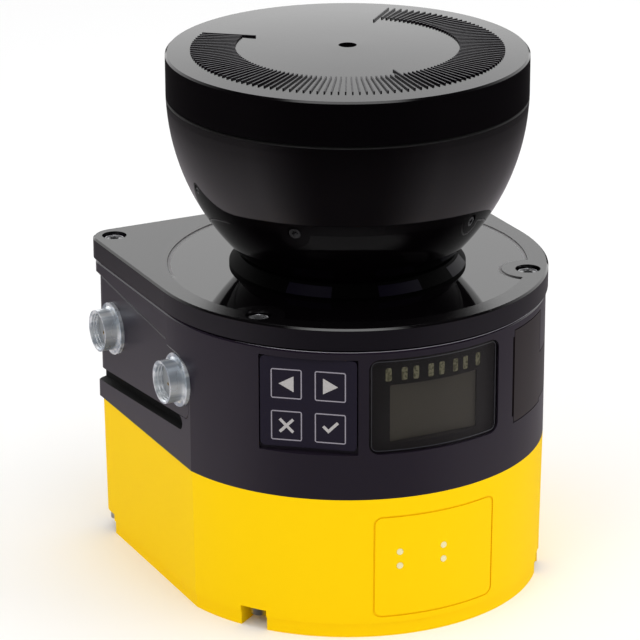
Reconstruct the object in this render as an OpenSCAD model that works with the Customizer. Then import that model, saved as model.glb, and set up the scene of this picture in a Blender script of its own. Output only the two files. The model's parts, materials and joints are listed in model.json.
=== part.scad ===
// Safety laser scanner: a D-shaped housing with keypad and display, a scanning head on a neck above it.
// The origin lies on the scan axis in the plane the scanner stands on. +Z is up and the front faces -Y.
// Angles round the body are counted from the front, positive towards +X.

/* [Body outline] */
// Width across the lid, twice the radius of its round front
body_w = 112; // [108:0.5:118]
// Distance from the scan axis to the back face
back_depth = 55.1; // [52:0.1:60]
// Radius of the two rear corners
rear_corner_r = 7; // [5:0.5:9]
// How far both housings stand in from the edge of the lid
housing_inset = 0.6; // [0.4:0.1:1]
// How far the flat flanks are cut back from the round front
flank_cut = 1.3; // [0.8:0.1:1.6]
// Wall of both housings
wall = 2.6; // [2:0.1:3]
// Draft of the base housing: how much its foot is smaller all round
base_draft = 0.6; // [0:0.1:1]

/* [Heights] */
// Height of the base housing
base_h = 41; // [36:0.5:48]
// Height of the upper housing
upper_h = 42.3; // [42:0.1:48]
// Open joint between the upper housing and the lid
lid_gap = 0.9; // [0.5:0.1:1.5]
// Thickness of the lid
lid_t = 6; // [5:0.5:8]
// Height of the optics hood above the lid
hood_h = 48.2; // [46:0.2:54]
// Joint between the hood and the cap
cap_gap = 0.4; // [0.2:0.1:0.8]
// Height of the cap's side band
cap_h = 12; // [9:0.5:16]
// Rise of the cap's domed top
cap_dome = 1.5; // [0.5:0.1:3]

/* [Optics hood] */
// Outer radius of the hood at its rim
hood_rim_r = 49.9; // [47:0.1:51]
// Height of the nearly upright band under the rim
hood_band_h = 2.4; // [1:0.2:5]
// Outer radius of the neck
neck_r = 29.6; // [28:0.2:32]
// Thickness of the hood
hood_t = 2.4; // [2:0.1:3]
// Width of the sloping collar at the foot of the neck
collar_w = 3.4; // [2:0.2:5]
// Height of the collar
collar_h = 3.6; // [2:0.2:5]

/* [Range marks on the cap] */
// Angle between two marks
mark_step = 2.5; // [2.5:2.5:10]
// Half of the range that the marks cover
mark_half_range = 137.5; // [90:2.5:150]
// Inner radius of the marks
mark_in_r = 30.6; // [26:0.2:34]
// Outer radius of the marks
mark_out_r = 43; // [38:0.2:46]
// Width of a mark
mark_w = 0.4; // [0.3:0.05:0.8]
// How far the marks stand up
mark_up = 0.45; // [0.2:0.05:0.5]

/* [Lid and screws] */
// Distance of the front screws from the lid's round edge
front_screw_inset = 5.5; // [5:0.1:7]
// Angle of the front screws from the front
front_screw_angle = 54.9; // [50:0.1:60]
// Distance of the rear screws from the lid's sides
rear_screw_side = 6.3; // [6:0.1:8]
// Distance of the rear screws from the back face
rear_screw_inset = 6.2; // [5.5:0.1:8]
// Radius of the lid screws' heads
lid_screw_head_r = 2.9; // [2.5:0.1:3.1]
// Radius of the screws' shanks
screw_r = 1.6; // [1.4:0.05:1.8]
// Width of the raised rim round the sunk ring in the lid's top
lid_rim_w = 5.7; // [4:0.1:8]

/* [Panels] */
// Lower edge of the keypad, display and cover, above the base housing
panel_low = 12.9; // [11:0.1:14]
// Height of the keypad, display and cover openings
panel_h = 27.3; // [27:0.1:28]
// Web between the keypad and the display openings, measured round the face
panel_web = 2.86; // [2:0.02:4]
// Width of the keypad opening
keypad_w = 27.2; // [26.4:0.1:28]
// Side of a key
key_w = 7.6; // [7:0.1:8]
// Distance between the middles of two keys
key_pitch = 12; // [11.4:0.1:12.4]
// Travel of a key
key_travel = 0.5; // [0.3:0.05:0.6]
// Width of the display opening
display_w = 39.4; // [38:0.1:41]
// Depth of the display window below the housing's face
window_sink = 0.6; // [0.3:0.1:1]
// Thickness of the display window
window_t = 1.6; // [1.2:0.1:2]

/* [Service cover] */
// Angle of the cover's front edge
cover_from = 28.5; // [27:0.5:30]
// Angle of the back edge of the cover's broad part
cover_to = 46.8; // [45:0.2:50]
// Angle of the cover's hinge pin
hinge_angle = 67; // [64:0.5:70]
// Height of the arm that leads to the hinge
arm_h = 13.4; // [11:0.2:15]
// Thickness of the cover
cover_t = 1.7; // [1.4:0.1:2]
// Radius of the hinge pin
hinge_pin_r = 0.6; // [0.5:0.05:0.7]

/* [System plug] */
// Height of the connectors above the base housing
connector_up = 24.6; // [23:0.1:26]
// Distance of the front connector in front of the scan axis
front_connector_y = 4.8; // [4:0.1:5.2]
// Distance between the two connectors
connector_pitch = 45; // [43:0.1:46]
// Outer radius of the connectors' barrels
barrel_r = 6; // [5.5:0.1:6.2]
// Length of the barrels outside their flanges
barrel_len = 4.2; // [3:0.1:8]
// Radius of the connectors' flanges
flange_r = 7.5; // [7:0.1:7.6]
// Depth of the system plug into the housing
plug_depth = 17; // [14:0.5:20]

/* [Status window of the base] */
// Half angle of the engraved frame
frame_half_angle = 19.4; // [16:0.2:22]
// Lower edge of the engraved frame
frame_low = 5.8; // [5:0.1:8]
// Height of the engraved frame
frame_h = 30; // [26:0.5:31]
// Width of the engraved line
frame_line = 0.5; // [0.3:0.1:0.8]

/* [Mounting] */
// Sideways distance between the rear mounting holes
rear_hole_dx = 60; // [50:1:64]
// Height between the rear mounting holes
rear_hole_dz = 24; // [20:1:26]
// Radius of the mounting holes, cored for a thread of nominal size 5
rear_hole_r = 2.1; // [1.8:0.05:2.5]
// Depth of the mounting holes
rear_hole_depth = 7.5; // [6:0.5:9]

/* [Scanning optics] */
// Height of the scan plane above the lid
scan_up = 24; // [22:0.5:26]
// Radius of the rotating mirror
mirror_r = 16; // [13:0.5:17]
// Radius of the motor
motor_r = 14; // [12:0.5:16]
// Radius of the motor's shaft
shaft_r = 2.5; // [2:0.1:3]
// Running clearance of the shaft in its bearings
shaft_clear = 0.04; // [0.02:0.01:0.08]
// Radius of the receiver lens
lens_r = 20; // [17:0.5:22]

/* [Hidden] */
$fn = 96;
eps = 0.01;
// Clearance between pieces that are put together
fit_gap = 0.2;
// Clearance round a screw's shank in the hole that stands for its thread
thread_gap = 0.02;

lid_r = body_w / 2;
housing_r = lid_r - housing_inset;
flank_x = housing_r - flank_cut;
back_y = back_depth - housing_inset;
housing_corner_r = rear_corner_r - housing_inset;
seam_z = base_h + upper_h;
lid_z0 = seam_z + lid_gap;
lid_z = lid_z0 + lid_t;
rim_z = lid_z + hood_h;
cap_z0 = rim_z + cap_gap;
cap_z = cap_z0 + cap_h;
front_screw_r = lid_r - front_screw_inset;
front_screw_x = front_screw_r * sin(front_screw_angle);
rear_screw_x = lid_r - rear_screw_side;
lid_ring_r = lid_r - lid_rim_w;
keypad_angle = -(asin(display_w / 2 / housing_r) + asin(keypad_w / 2 / housing_r)
    + panel_web / housing_r * 180 / PI);
screw_spots = [
    for (s = [-1, 1]) [s * front_screw_x, -front_screw_r * cos(front_screw_angle)],
    for (s = [-1, 1]) [s * rear_screw_x, back_depth - rear_screw_inset]];

// ---- shared shapes ----

// Turns its children so that their -Y side faces the given angle.
module facing(angle) {
    rotate([0, 0, angle]) children();
}

// A rectangle with round corners, centred.
module round_rect(w, h, r) {
    square([w - 2 * r, h], center = true);
    square([w, h - 2 * r], center = true);
    for (x = [-1, 1], y = [-1, 1])
        translate([x * (w / 2 - r), y * (h / 2 - r)]) circle(r = r, $fn = 32);
}

// An upright plate facing -Y: its inner face is at y = -inner, its middle at height z.
module upright_plate(w, h, r, inner, t, z) {
    translate([0, -inner, z]) rotate([90, 0, 0]) linear_extrude(t) round_rect(w, h, r);
}

// A bar along Y with the trapezoid section of a drafted body.
module flank_bar(hw, y0, y1, h, i0, i1) {
    translate([0, y1, 0]) rotate([90, 0, 0]) linear_extrude(y1 - y0)
        polygon([[-hw + i0, 0], [hw - i0, 0], [hw - i1, h], [-hw + i1, h]]);
}

// The D-shaped block: round front of radius r, flanks at hw, square back with round corners.
// i0 and i1 are how much it is smaller all round at its foot and at its top.
module body_block(r, hw, back, corner, h, i0 = 0, i1 = 0) {
    intersection() {
        cylinder(r1 = r - i0, r2 = r - i1, h = h);
        flank_bar(hw, -r - 1, 1, h, i0, i1);
    }
    flank_bar(hw, 0, back - corner, h, i0, i1);
    for (s = [-1, 1])
        translate([s * (hw - corner), back - corner, 0])
            cylinder(r1 = corner - i0, r2 = corner - i1, h = h);
    translate([-(hw - corner), 0, 0]) rotate([90, 0, 90]) linear_extrude(2 * (hw - corner))
        polygon([[0, 0], [back - i0, 0], [back - i1, h], [0, h]]);
}

module at_screws() {
    for (p = screw_spots) translate([p[0], p[1], 0]) children();
}

// A board with rounded corners lying flat, its edges at hw, y0 and y1.
module flat_board(hw, y0, y1, z) {
    translate([0, (y0 + y1) / 2, z]) linear_extrude(board_t) round_rect(2 * hw, y1 - y0, 2);
}

// Posts up to a board's underside, each with a peg that goes through the board.
module board_pegs(spots, z0, z1) {
    for (p = spots) translate([p[0], p[1], z0]) {
        cylinder(r = board_post_r, h = z1 - z0);
        cylinder(r = peg_r, h = z1 - z0 + board_t + peg_up);
    }
}

module board_holes(spots, z) {
    for (p = spots) translate([p[0], p[1], z - 1]) cylinder(r = peg_r + 0.05, h = 20);
}

// ---- base ----

board_t = 1.6;
board_post_r = 2.5;
peg_r = 1.1;
peg_up = 0.8;
post_inset = 3;
floor_t = 3;
notch_w = 8;
notch_h = 5.9;
boss_r = 4;
foot_band_h = 4;
foot_band_inset = 0.35;
light_spots = [for (a = [-11.8, 1.6], z = [20.9, 25]) [a, z]];
light_r = 0.9;
light_len = 8.8;
base_side_x = flank_x - 0.1;

module foot_inset_ring() {
    difference() {
        translate([0, 0, -1]) body_block(lid_r + 5, lid_r + 5, lid_r + 5, rear_corner_r, foot_band_h + 1);
        translate([0, 0, -2]) body_block(housing_r - base_draft - foot_band_inset,
            base_side_x - base_draft - foot_band_inset, back_y - base_draft - foot_band_inset,
            housing_corner_r - base_draft - foot_band_inset, foot_band_h + 4);
    }
}

// The line engraved round the status lights.
module engraved_frame() {
    w = 2 * housing_r * sin(frame_half_angle);
    depth = housing_r * (1 - cos(frame_half_angle)) + 4;
    difference() {
        translate([0, 0, frame_low + frame_h / 2]) rotate([90, 0, 0])
            linear_extrude(housing_r + 1) difference() {
                round_rect(w, frame_h, 2.4);
                round_rect(w - 2 * frame_line, frame_h - 2 * frame_line, 2);
            }
        translate([0, 0, -1]) cylinder(r1 = housing_r - base_draft - 0.4, r2 = housing_r - 0.4,
            h = base_h + 2);
        translate([-lid_r, -(housing_r - depth), 0]) cube([body_w, lid_r, base_h]);
    }
}

module base_housing() {
    color("gold") difference() {
        body_block(housing_r, base_side_x, back_y, housing_corner_r, base_h, base_draft);
        foot_inset_ring();
        difference() {
            translate([0, 0, floor_t]) body_block(housing_r - base_draft - wall,
                base_side_x - base_draft - wall, back_y - wall - base_draft,
                housing_corner_r - wall, base_h);
            at_screws() {
                cylinder(r = boss_r, h = base_h);
                cylinder(r = notch_w * 0.9, h = notch_h + wall);
            }
            board_pegs(interface_posts, 0, interface_z);
        }
        at_screws() translate([0, 0, -1]) cylinder(r = screw_r + fit_gap, h = base_h + 2);
        for (s = [-1, 1]) facing(s * front_screw_angle) translate([-notch_w / 2, -lid_r - 1, -1])
            cube([notch_w, lid_r + 1 - front_screw_r + boss_r, notch_h + 1]);
        for (s = [-1, 1])
            translate([s * rear_screw_x - notch_w / 2, back_depth - rear_screw_inset - boss_r, -1])
                cube([notch_w, lid_r, notch_h + 1]);
        engraved_frame();
        for (p = light_spots) facing(p[0]) translate([0, -housing_r + wall + 2, p[1]]) rotate([90, 0, 0])
            cylinder(r = light_r + 0.05, h = wall + 4);
        outline_seal(base_h - gasket_h, gasket_inset, gasket_w, gasket_h + 1);
    }
}

module base_light_guides() {
    color("ghostwhite") for (p = light_spots) facing(p[0])
        translate([0, -housing_r + light_len + 0.2, p[1]]) rotate([90, 0, 0])
            cylinder(r = light_r, h = light_len);
}

hex_r = 1.6;
hex_depth = 1.6;
base_screw_z = 3.2;
base_screw_head_h = notch_h - base_screw_z;
base_screw_reach = 5;
lid_screw_reach = 4.2;

module base_screws() {
    color("silver") at_screws() difference() {
        union() {
            translate([0, 0, base_screw_z]) cylinder(r = lid_screw_head_r, h = base_screw_head_h);
            translate([0, 0, notch_h]) cylinder(r = screw_r, h = base_h + base_screw_reach - notch_h);
        }
        translate([0, 0, base_screw_z - 1]) cylinder(r = hex_r, h = hex_depth + 1, $fn = 6);
    }
}

gasket_h = 1.2;
gasket_w = 1.2;
gasket_inset = 0.8;

// A seal that follows the housing's outline, in from its outer face.
module outline_seal(z, inset, w, h) {
    translate([0, 0, z]) difference() {
        body_block(housing_r - inset, flank_x - inset, back_y - inset, housing_corner_r - inset, h);
        translate([0, 0, -1]) body_block(housing_r - inset - w, flank_x - inset - w, back_y - inset - w,
            housing_corner_r - inset - w, h + 2);
    }
}

module base_gasket() {
    color("dimgray") outline_seal(base_h - gasket_h, gasket_inset, gasket_w, gasket_h);
}

interface_z = 13;
interface_hw = front_screw_x - boss_r - 0.5;
interface_y0 = 22.4 - housing_r;
interface_y1 = back_y - 11.5;
interface_posts = [for (s = [-1, 1], y = [interface_y0 + 7, interface_y1 - 7])
    [s * (interface_hw - post_inset), y]];
terminal_w = 16;

module interface_board() {
    color("darkgreen") difference() {
        union() {
            flat_board(interface_hw, interface_y0, interface_y1, interface_z);
            translate([-22, 4, interface_z]) cube([16, 16, board_t + 1.4]);
            translate([6, -8, interface_z]) cube([10, 10, board_t + 1.2]);
            for (p = light_spots) if (p[1] < 22) facing(p[0])
                translate([-1.6, -housing_r + light_len + 0.4, interface_z]) cube([3.2, 22, board_t]);
            for (x = [-30, 4]) translate([x, interface_y1 - terminal_w - 3, interface_z])
                cube([terminal_w, 14, 12]);
        }
        board_holes(interface_posts, interface_z);
    }
}

main_hw = flank_x - 23.1;
main_y0 = 28.4 - housing_r;
main_y1 = back_y - 15.5;
main_posts = [for (s = [-1, 1], y = [main_y0 + 5, main_y1 - 5]) [s * (main_hw - 4), y]];
link_size = [6, 20];
link_spot = [main_hw - 7, 8];

// The plug strip that joins the lower and the upper board.
module board_link() {
    color("black") translate([link_spot[0], link_spot[1], interface_z + board_t])
        cube([link_size[0], link_size[1], main_z - interface_z - board_t]);
}

// ---- upper housing ----

panel_z0 = base_h + panel_low;
panel_z = panel_z0 + panel_h / 2;
top_chamfer = 0.4;
upper_floor_t = 2.6;
floor_hole_r = housing_r - 25.4;
main_z = base_h + upper_floor_t + 3;
flank_line_front = [-1, base_h + 33.2];
flank_line_slope = 5.1;
slot_slope = -4.9;
slot_front = [-6.5, base_h + 12.1];
slot_h = 4.2;
slot_depth = 3;
keypad_r = housing_r * cos(asin(keypad_w / 2 / housing_r)) + 0.1;
keypad_t = 1.5;
key_hole = key_w + 2 * fit_gap;
keypad_seat = keypad_r - keypad_t;
key_stem_end = 1.9;
dome_h = 0.6;
keypad_board_r = keypad_seat - key_stem_end - key_travel - 0.1 - dome_h;
window_out_r = housing_r - window_sink;
window_in_r = window_out_r - window_t;
mask_r = window_in_r - fit_gap;
mask_back = mask_r - 6.4;
cover_r = housing_r;
cover_gap = 0.3;
cover_edge = 0.3;
arm_z = panel_z0 + 1.3 + arm_h / 2;
hinge_r = housing_r - 2.2;
hinge_barrel_r = 1.7;
hinge_barrel_h = arm_h - 0.4;
barrel_room_r = hinge_barrel_r + 0.8;
barrel_room_h = arm_h + 2 * cover_gap + 0.3;
barrel_room_w = 2 * barrel_room_r + 0.6;
usb_angle = 38;
usb_z = base_h + 23;
usb_pocket = [13, 9];
usb_mouth_r = housing_r - 9;
usb_shell = [8.8, 5];

// The sloping edge above the flat flanks: its height at the given y.
function flank_line(y) = flank_line_front[1] + (y - flank_line_front[0]) * tan(flank_line_slope);

// The slot's lower edge at the given y.
function slot_low(y) = slot_front[1] - slot_h / 2 + (y - slot_front[0]) * tan(slot_slope);

// Points along an arc round c from angle a0 to a1.
function arc(c, r, a0, a1, n = 8) = [for (i = [0:n]) c + r * [cos(a0 + (a1 - a0) * i / n),
    sin(a0 + (a1 - a0) * i / n)]];

flank_corner_r = 9;
edge_rise = 1.3;
flank_front = -sqrt(housing_r * housing_r - flank_x * flank_x);

// The side outline of a flat flank in Y and Z, from height z0 up to the sloping edge.
function flank_outline(g, front, z0, z1) = concat(
    [[back_y + 5, z0]], [[back_y + 5, flank_line(back_y + 5) - g]],
    arc([front + flank_corner_r + g, flank_line(front + flank_corner_r) - flank_corner_r - g],
        flank_corner_r, 90, 180),
    [[front + g, z1]]);

// Extrudes an outline in Y and Z between two x positions.
module side_slab(x0, x1) {
    translate([x0, 0, 0]) rotate([90, 0, 90]) linear_extrude(x1 - x0) children();
}

module flank_cut_away() {
    for (s = [0, 1]) mirror([s, 0, 0]) {
        side_slab(-lid_r - 1, -flank_x)
            polygon(flank_outline(0, flank_front - 1, base_h - 1, base_h - 1));
        translate([-flank_x, 0, flank_line(0)]) rotate([flank_line_slope, 0, 0])
            translate([0, back_y + 2, 0]) rotate([90, 0, 0]) linear_extrude(back_y - flank_line_front[0])
                polygon([[0, -eps], [-3, -eps], [-3, 3 * edge_rise], [0, 0]]);
    }
}

module flank_slot() {
    translate([-flank_x, slot_front[0], slot_front[1]]) rotate([slot_slope, 0, 0])
        translate([-3, 0, 0]) rotate([90, 0, 90]) linear_extrude(3 + slot_depth) {
            translate([slot_h / 2, 0]) circle(r = slot_h / 2);
            translate([slot_h / 2, -slot_h / 2]) square([back_y + 20, slot_h]);
        }
}

// The plug's outline in Y and Z, smaller by g all round.
function plug_outline(g) = concat(
    [[back_y, slot_low(back_y) + slot_h + g]], [[back_y, flank_line(back_y) - plug_gap - g]],
    arc([plug_front + flank_corner_r + g,
        flank_line(flank_front + 1 + flank_corner_r) - plug_gap - flank_corner_r - g],
        flank_corner_r, 90, 180),
    arc([plug_front + plug_low_r + g, slot_low(flank_front + 4) + slot_h + plug_low_r + g],
        plug_low_r, 180, 250, 4));

plug_gap = 0.15;
plug_front = flank_front + 1.2;
plug_low_r = 3;
keypad_lip = 2.4;

module keypad_cut() {
    facing(keypad_angle) {
        translate([-keypad_w / 2, -lid_r - 2, panel_z0])
            cube([keypad_w, lid_r + 2 - keypad_seat, panel_h]);
        translate([keypad_lip - keypad_w / 2, -lid_r, panel_z0 + keypad_lip])
            cube([keypad_w - 2 * keypad_lip, 20, panel_h - 2 * keypad_lip]);
    }
}

module display_cut() {
    upright_plate(display_w, panel_h, 3, mask_back, 20, panel_z);
    upright_plate(display_w - 5, panel_h - 4, 2, mask_back - 5, 20, panel_z);
}

// Part of a ring between two angles from the front.
module ring_part(a0, a1, r0, r1, z0, h) {
    rotate([0, 0, a0 - 90]) rotate_extrude(angle = a1 - a0) translate([r0, z0]) square([r1 - r0, h]);
}

// The cover's form between two radii, larger by g all round.
module cover_form(r0, r1, g) {
    da = g / housing_r * 180 / PI;
    low = panel_z0 + cover_edge - g;
    arm_low = arm_z - arm_h / 2 - g;
    arm_high = arm_z + arm_h / 2 + g;
    difference() {
        ring_part(cover_from - da, hinge_angle, r0, r1, low, panel_h - 2 * cover_edge + 2 * g);
        ring_part(cover_to + da, hinge_angle + 3, r0 - 1, r1 + 1, low - 1, arm_low - low + 1);
        ring_part(cover_to + da, hinge_angle + 3, r0 - 1, r1 + 1, arm_high, panel_h);
    }
}

module cover_cut() {
    cover_form(cover_r - cover_t - cover_gap, lid_r + 3, cover_gap);
    ring_part(cover_from - 1, cover_from + 1, cover_r - cover_t - cover_gap, lid_r + 3,
        panel_z0 + 2, panel_h - 4);
    facing(hinge_angle) translate([0, 0, arm_z - barrel_room_h / 2]) {
        translate([0, -hinge_r, 0]) cylinder(r = barrel_room_r, h = barrel_room_h);
        translate([-barrel_room_r, -lid_r - 1, 0])
            cube([barrel_room_w, lid_r + 1 - hinge_r, barrel_room_h]);
    }
    hinge_pin(hinge_pin_r + 0.02, 0.1);
    facing(usb_angle) upright_plate(usb_pocket[0], usb_pocket[1], 1.2, usb_mouth_r, 12, usb_z);
    facing(usb_angle)
        upright_plate(usb_shell[0] + fit_gap, usb_shell[1] + fit_gap, 0.6, usb_mouth_r - 8, 12, usb_z);
}

module hinge_pin(r, extra) {
    facing(hinge_angle) translate([0, -hinge_r, arm_z - arm_h / 2 - 2 - extra])
        cylinder(r = r, h = arm_h + 4 + 2 * extra, $fn = 32);
}

// What stands inside the upper housing's walls.
module upper_inner_walls() {
    at_screws() cylinder(r = boss_r, h = seam_z + 1);
    board_pegs(main_posts, base_h, main_z);
    facing(keypad_angle) translate([-keypad_w / 2 - 2, -housing_r, base_h])
        cube([keypad_w + 4, housing_r - keypad_board_r, upper_h + 1]);
    translate([-display_w / 2 - 2, -housing_r, base_h])
        cube([display_w + 4, housing_r - mask_back + 2, upper_h + 1]);
    facing((cover_from + hinge_angle) / 2 + 1) translate([-22, -housing_r, base_h])
        cube([44, 12, upper_h + 1]);
    facing(usb_angle) upright_plate(usb_pocket[0] + 4, usb_pocket[1] + 4, 1, usb_mouth_r - 3, 8, usb_z);
    for (x = [-1, 1], z = [-1, 1])
        translate([x * rear_hole_dx / 2, back_y, rear_hole_z + z * rear_hole_dz / 2])
            rotate([90, 0, 0]) cylinder(r = rear_hole_r + 3, h = rear_hole_depth + 2);
    side_slab(-housing_r, -flank_x + plug_depth + 2) polygon(plug_outline(-2.4 - slot_h));
}

rear_hole_z = base_h + upper_h / 2;

module upper_housing() {
    color([0.16, 0.15, 0.17]) difference() {
        translate([0, 0, base_h]) {
            body_block(housing_r, housing_r, back_y, housing_corner_r, upper_h - top_chamfer);
            translate([0, 0, upper_h - top_chamfer])
                body_block(housing_r, housing_r, back_y, housing_corner_r, top_chamfer, 0, top_chamfer);
        }
        difference() {
            translate([0, 0, base_h + upper_floor_t])
                body_block(housing_r - wall, flank_x - wall, back_y - wall,
                    housing_corner_r - wall, upper_h);
            upper_inner_walls();
        }
        translate([0, 0, base_h - 1]) cylinder(r = floor_hole_r, h = upper_floor_t + 2);
        translate([link_spot[0] - 1, link_spot[1] - 1, base_h - 1])
            cube([link_size[0] + 2, link_size[1] + 2, upper_floor_t + 2]);
        flank_cut_away();
        flank_slot();
        side_slab(-lid_r - 1, -flank_x + plug_depth + plug_gap) polygon(plug_outline(-plug_gap));
        plug_seal_seats(0.1);
        keypad_cut();
        display_cut();
        cover_cut();
        at_screws() {
            translate([0, 0, base_h - 1]) cylinder(r = screw_r + thread_gap, h = base_screw_reach + 1.2);
            translate([0, 0, seam_z - lid_screw_reach - 0.2])
                cylinder(r = screw_r + thread_gap, h = lid_screw_reach + 1);
        }
        for (x = [-1, 1], z = [-1, 1])
            translate([x * rear_hole_dx / 2, back_y + 1, rear_hole_z + z * rear_hole_dz / 2])
                rotate([90, 0, 0]) cylinder(r = rear_hole_r, h = rear_hole_depth + 1);
    }
}

// ---- system plug with its two connectors ----

connector_z = base_h + connector_up;
connector_ys = [-front_connector_y, connector_pitch - front_connector_y];
flange_t = 1;
barrel_bore_r = 5.1;
barrel_bore_depth = 12;
insert_sink = 2.6;
insert_len = barrel_bore_depth + flange_t + barrel_len - insert_sink;
contact_z = 4;
contact_spots = [for (i = [0:3]) 2.1 * [cos(45 + 90 * i), sin(45 + 90 * i)]];
contact_r = 0.5;
wire_hole_r = 2.4;

// Turns a form along Z so that it points to -X at a connector's place.
module at_connector(y) {
    translate([-flank_x, y, connector_z]) rotate([0, -90, 0]) children();
}

module system_plug() {
    color([0.17, 0.16, 0.18]) difference() {
        intersection() {
            side_slab(-flank_x, -flank_x + plug_depth) polygon(plug_outline(0));
            translate([0, 0, base_h]) body_block(housing_r + 1, flank_x, back_y, housing_corner_r, upper_h);
        }
        for (y = connector_ys) at_connector(y) translate([0, 0, -barrel_bore_depth - 1]) {
            cylinder(r = barrel_r + 0.02, h = 30);
            translate([0, 0, -2]) cylinder(r = wire_hole_r, h = 20);
        }
        plug_seal_seats(eps);
    }
}

seal_h = 1.2;
seal_r = flange_r - 0.7;

// The sunk seats of the seal rings under the connectors' flanges.
module plug_seal_seats(extra) {
    for (y = connector_ys) at_connector(y) translate([0, 0, -seal_h])
        cylinder(r = seal_r + extra, h = seal_h + 1);
}

module plug_seal() {
    color("dimgray") for (y = connector_ys) at_connector(y) translate([0, 0, -seal_h]) difference() {
        cylinder(r = seal_r, h = seal_h);
        translate([0, 0, -1]) cylinder(r = barrel_r + eps, h = seal_h + 2);
    }
}

module connector_shell(y) {
    color("silver") at_connector(y) rotate_extrude() difference() {
        union() {
            translate([0, -barrel_bore_depth - 1])
                square([barrel_r, barrel_bore_depth + 1 + barrel_len + flange_t]);
            square([flange_r, flange_t]);
            translate([0, flange_t]) polygon([[0, 0], [barrel_r + 0.5, 0], [barrel_r, 0.5], [0, 0.5]]);
        }
        translate([0, -barrel_bore_depth]) square([barrel_bore_r, 60]);
        translate([0, -barrel_bore_depth - 2]) square([wire_hole_r, 4]);
        translate([barrel_bore_r - 0.4, barrel_len + flange_t]) polygon([[0, -0.7], [0.9, 0.1], [0, 0.1]]);
    }
}

module connector_shell_front() {
    connector_shell(connector_ys[0]);
}

module connector_shell_rear() {
    connector_shell(connector_ys[1]);
}

module connector_insert(y) {
    color([0.1, 0.1, 0.11]) at_connector(y) translate([0, 0, -barrel_bore_depth]) difference() {
        cylinder(r = barrel_bore_r - 0.02, h = insert_len);
        for (p = contact_spots) translate([p[0], p[1], contact_z])
            cylinder(r = contact_r + 0.02, h = 20, $fn = 24);
        translate([-0.6, -barrel_bore_r - 1, insert_len - 1]) cube([1.2, 2, 2]);
    }
}

module connector_insert_front() {
    connector_insert(connector_ys[0]);
}

module connector_insert_rear() {
    connector_insert(connector_ys[1]);
}

module connector_contacts() {
    color("goldenrod") for (y = connector_ys) at_connector(y) for (p = contact_spots)
        translate([p[0], p[1], contact_z - barrel_bore_depth]) difference() {
            cylinder(r = contact_r, h = insert_len - contact_z, $fn = 24);
            translate([0, 0, 2 * contact_z]) cylinder(r = contact_r - 0.2, h = 20, $fn = 24);
        }
}

// ---- keypad ----

key_spots = [[-1, 1], [1, 1], [-1, -1], [1, -1]];
key_mid_z = base_h + 26.2;
key_flange = key_w + 1.2;
key_flange_t = 0.8;
key_stem_r = 1.6;
key_root = keypad_seat - 0.3;

module at_key(i) {
    facing(keypad_angle)
        translate([key_spots[i][0] * key_pitch / 2, 0, key_mid_z + key_spots[i][1] * key_pitch / 2])
            children();
}

module keypad_panel() {
    color([0.18, 0.17, 0.2]) difference() {
        facing(keypad_angle)
            upright_plate(keypad_w - 0.8, panel_h - 1.6, 1.4, keypad_seat, keypad_t, panel_z + 0.5);
        for (i = [0:3]) at_key(i) upright_plate(key_hole, key_hole, 0.9, keypad_seat - 1, 9, 0);
    }
}

// A key: its face in the panel's window, a flange behind the panel and a stem towards the switch.
module key(i) {
    color([0.13, 0.12, 0.14]) at_key(i) {
        upright_plate(key_w, key_w, 0.7, key_root, keypad_r - key_root, 0);
        upright_plate(key_flange, key_flange, 0.8, key_root - key_flange_t, key_flange_t, 0);
        translate([0, key_flange_t - key_root, 0]) rotate([-90, 0, 0])
            cylinder(r = key_stem_r, h = key_stem_end - 0.3 - key_flange_t);
    }
}

module key_back() {
    key(0);
}

module key_next() {
    key(1);
}

module key_cancel() {
    key(2);
}

module key_confirm() {
    key(3);
}

// The keypad's board with a snap dome under each key.
module keypad_board() {
    color("darkgreen") {
        facing(keypad_angle)
            upright_plate(keypad_w - 6.4, panel_h - 1, 1, keypad_board_r - 1.2, 1.2, panel_z);
        for (i = [0:3]) at_key(i) translate([0, -keypad_board_r, 0]) rotate([90, 0, 0])
            cylinder(r = 2.4, h = dome_h);
    }
}

// ---- display ----

lcd_w = 28;
lcd_h = 18.4;
lcd_front = mask_r - 2.4;
lcd_t = 2.5;
lcd_back = lcd_front - lcd_t;
lcd_z = base_h + 23.6;
lcd_view = [26.4, 16.6];
guide_w = 1.6;
guide_h = 3.7;
guide_z = base_h + 34.8;
guide_xs = [for (p = [-1.5:1:1.5], s = [-1, 1]) p * 7.6 + s * 2.15];
mask_gap = 0.2;
display_board_w = display_w - 3.8;
display_board_h = panel_h - 3.1;

module display_window() {
    color([0.12, 0.12, 0.13, 0.6]) intersection() {
        upright_plate(display_w - 2 * mask_gap, panel_h - 2 * mask_gap, 2.8, mask_back, 14, panel_z);
        difference() {
            cylinder(r = window_out_r, h = seam_z);
            translate([0, 0, -1]) cylinder(r = window_in_r, h = seam_z + 2);
        }
    }
}

module display_mask() {
    color([0.09, 0.09, 0.1]) difference() {
        intersection() {
            upright_plate(display_w - 2 * mask_gap, panel_h - 2 * mask_gap, 2.8, mask_back, 14, panel_z);
            cylinder(r = mask_r, h = seam_z);
        }
        upright_plate(display_board_w + 0.4, display_board_h + 0.4, 1, mask_back - 1,
            lcd_back - mask_back + 1, panel_z);
        upright_plate(lcd_w + 0.3, lcd_h + 0.3, 0.5, mask_back, lcd_front - mask_back, lcd_z);
        upright_plate(lcd_view[0], lcd_view[1], 0.5, mask_back, 14, lcd_z);
        for (x = guide_xs) translate([x, 0, 0])
            upright_plate(guide_w + 0.1, guide_h + 0.1, 0.5, mask_back, 14, guide_z);
    }
}

module lcd_panel() {
    color([0.35, 0.36, 0.3]) upright_plate(lcd_w, lcd_h, 0.3, lcd_back, lcd_t, lcd_z);
}

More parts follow.
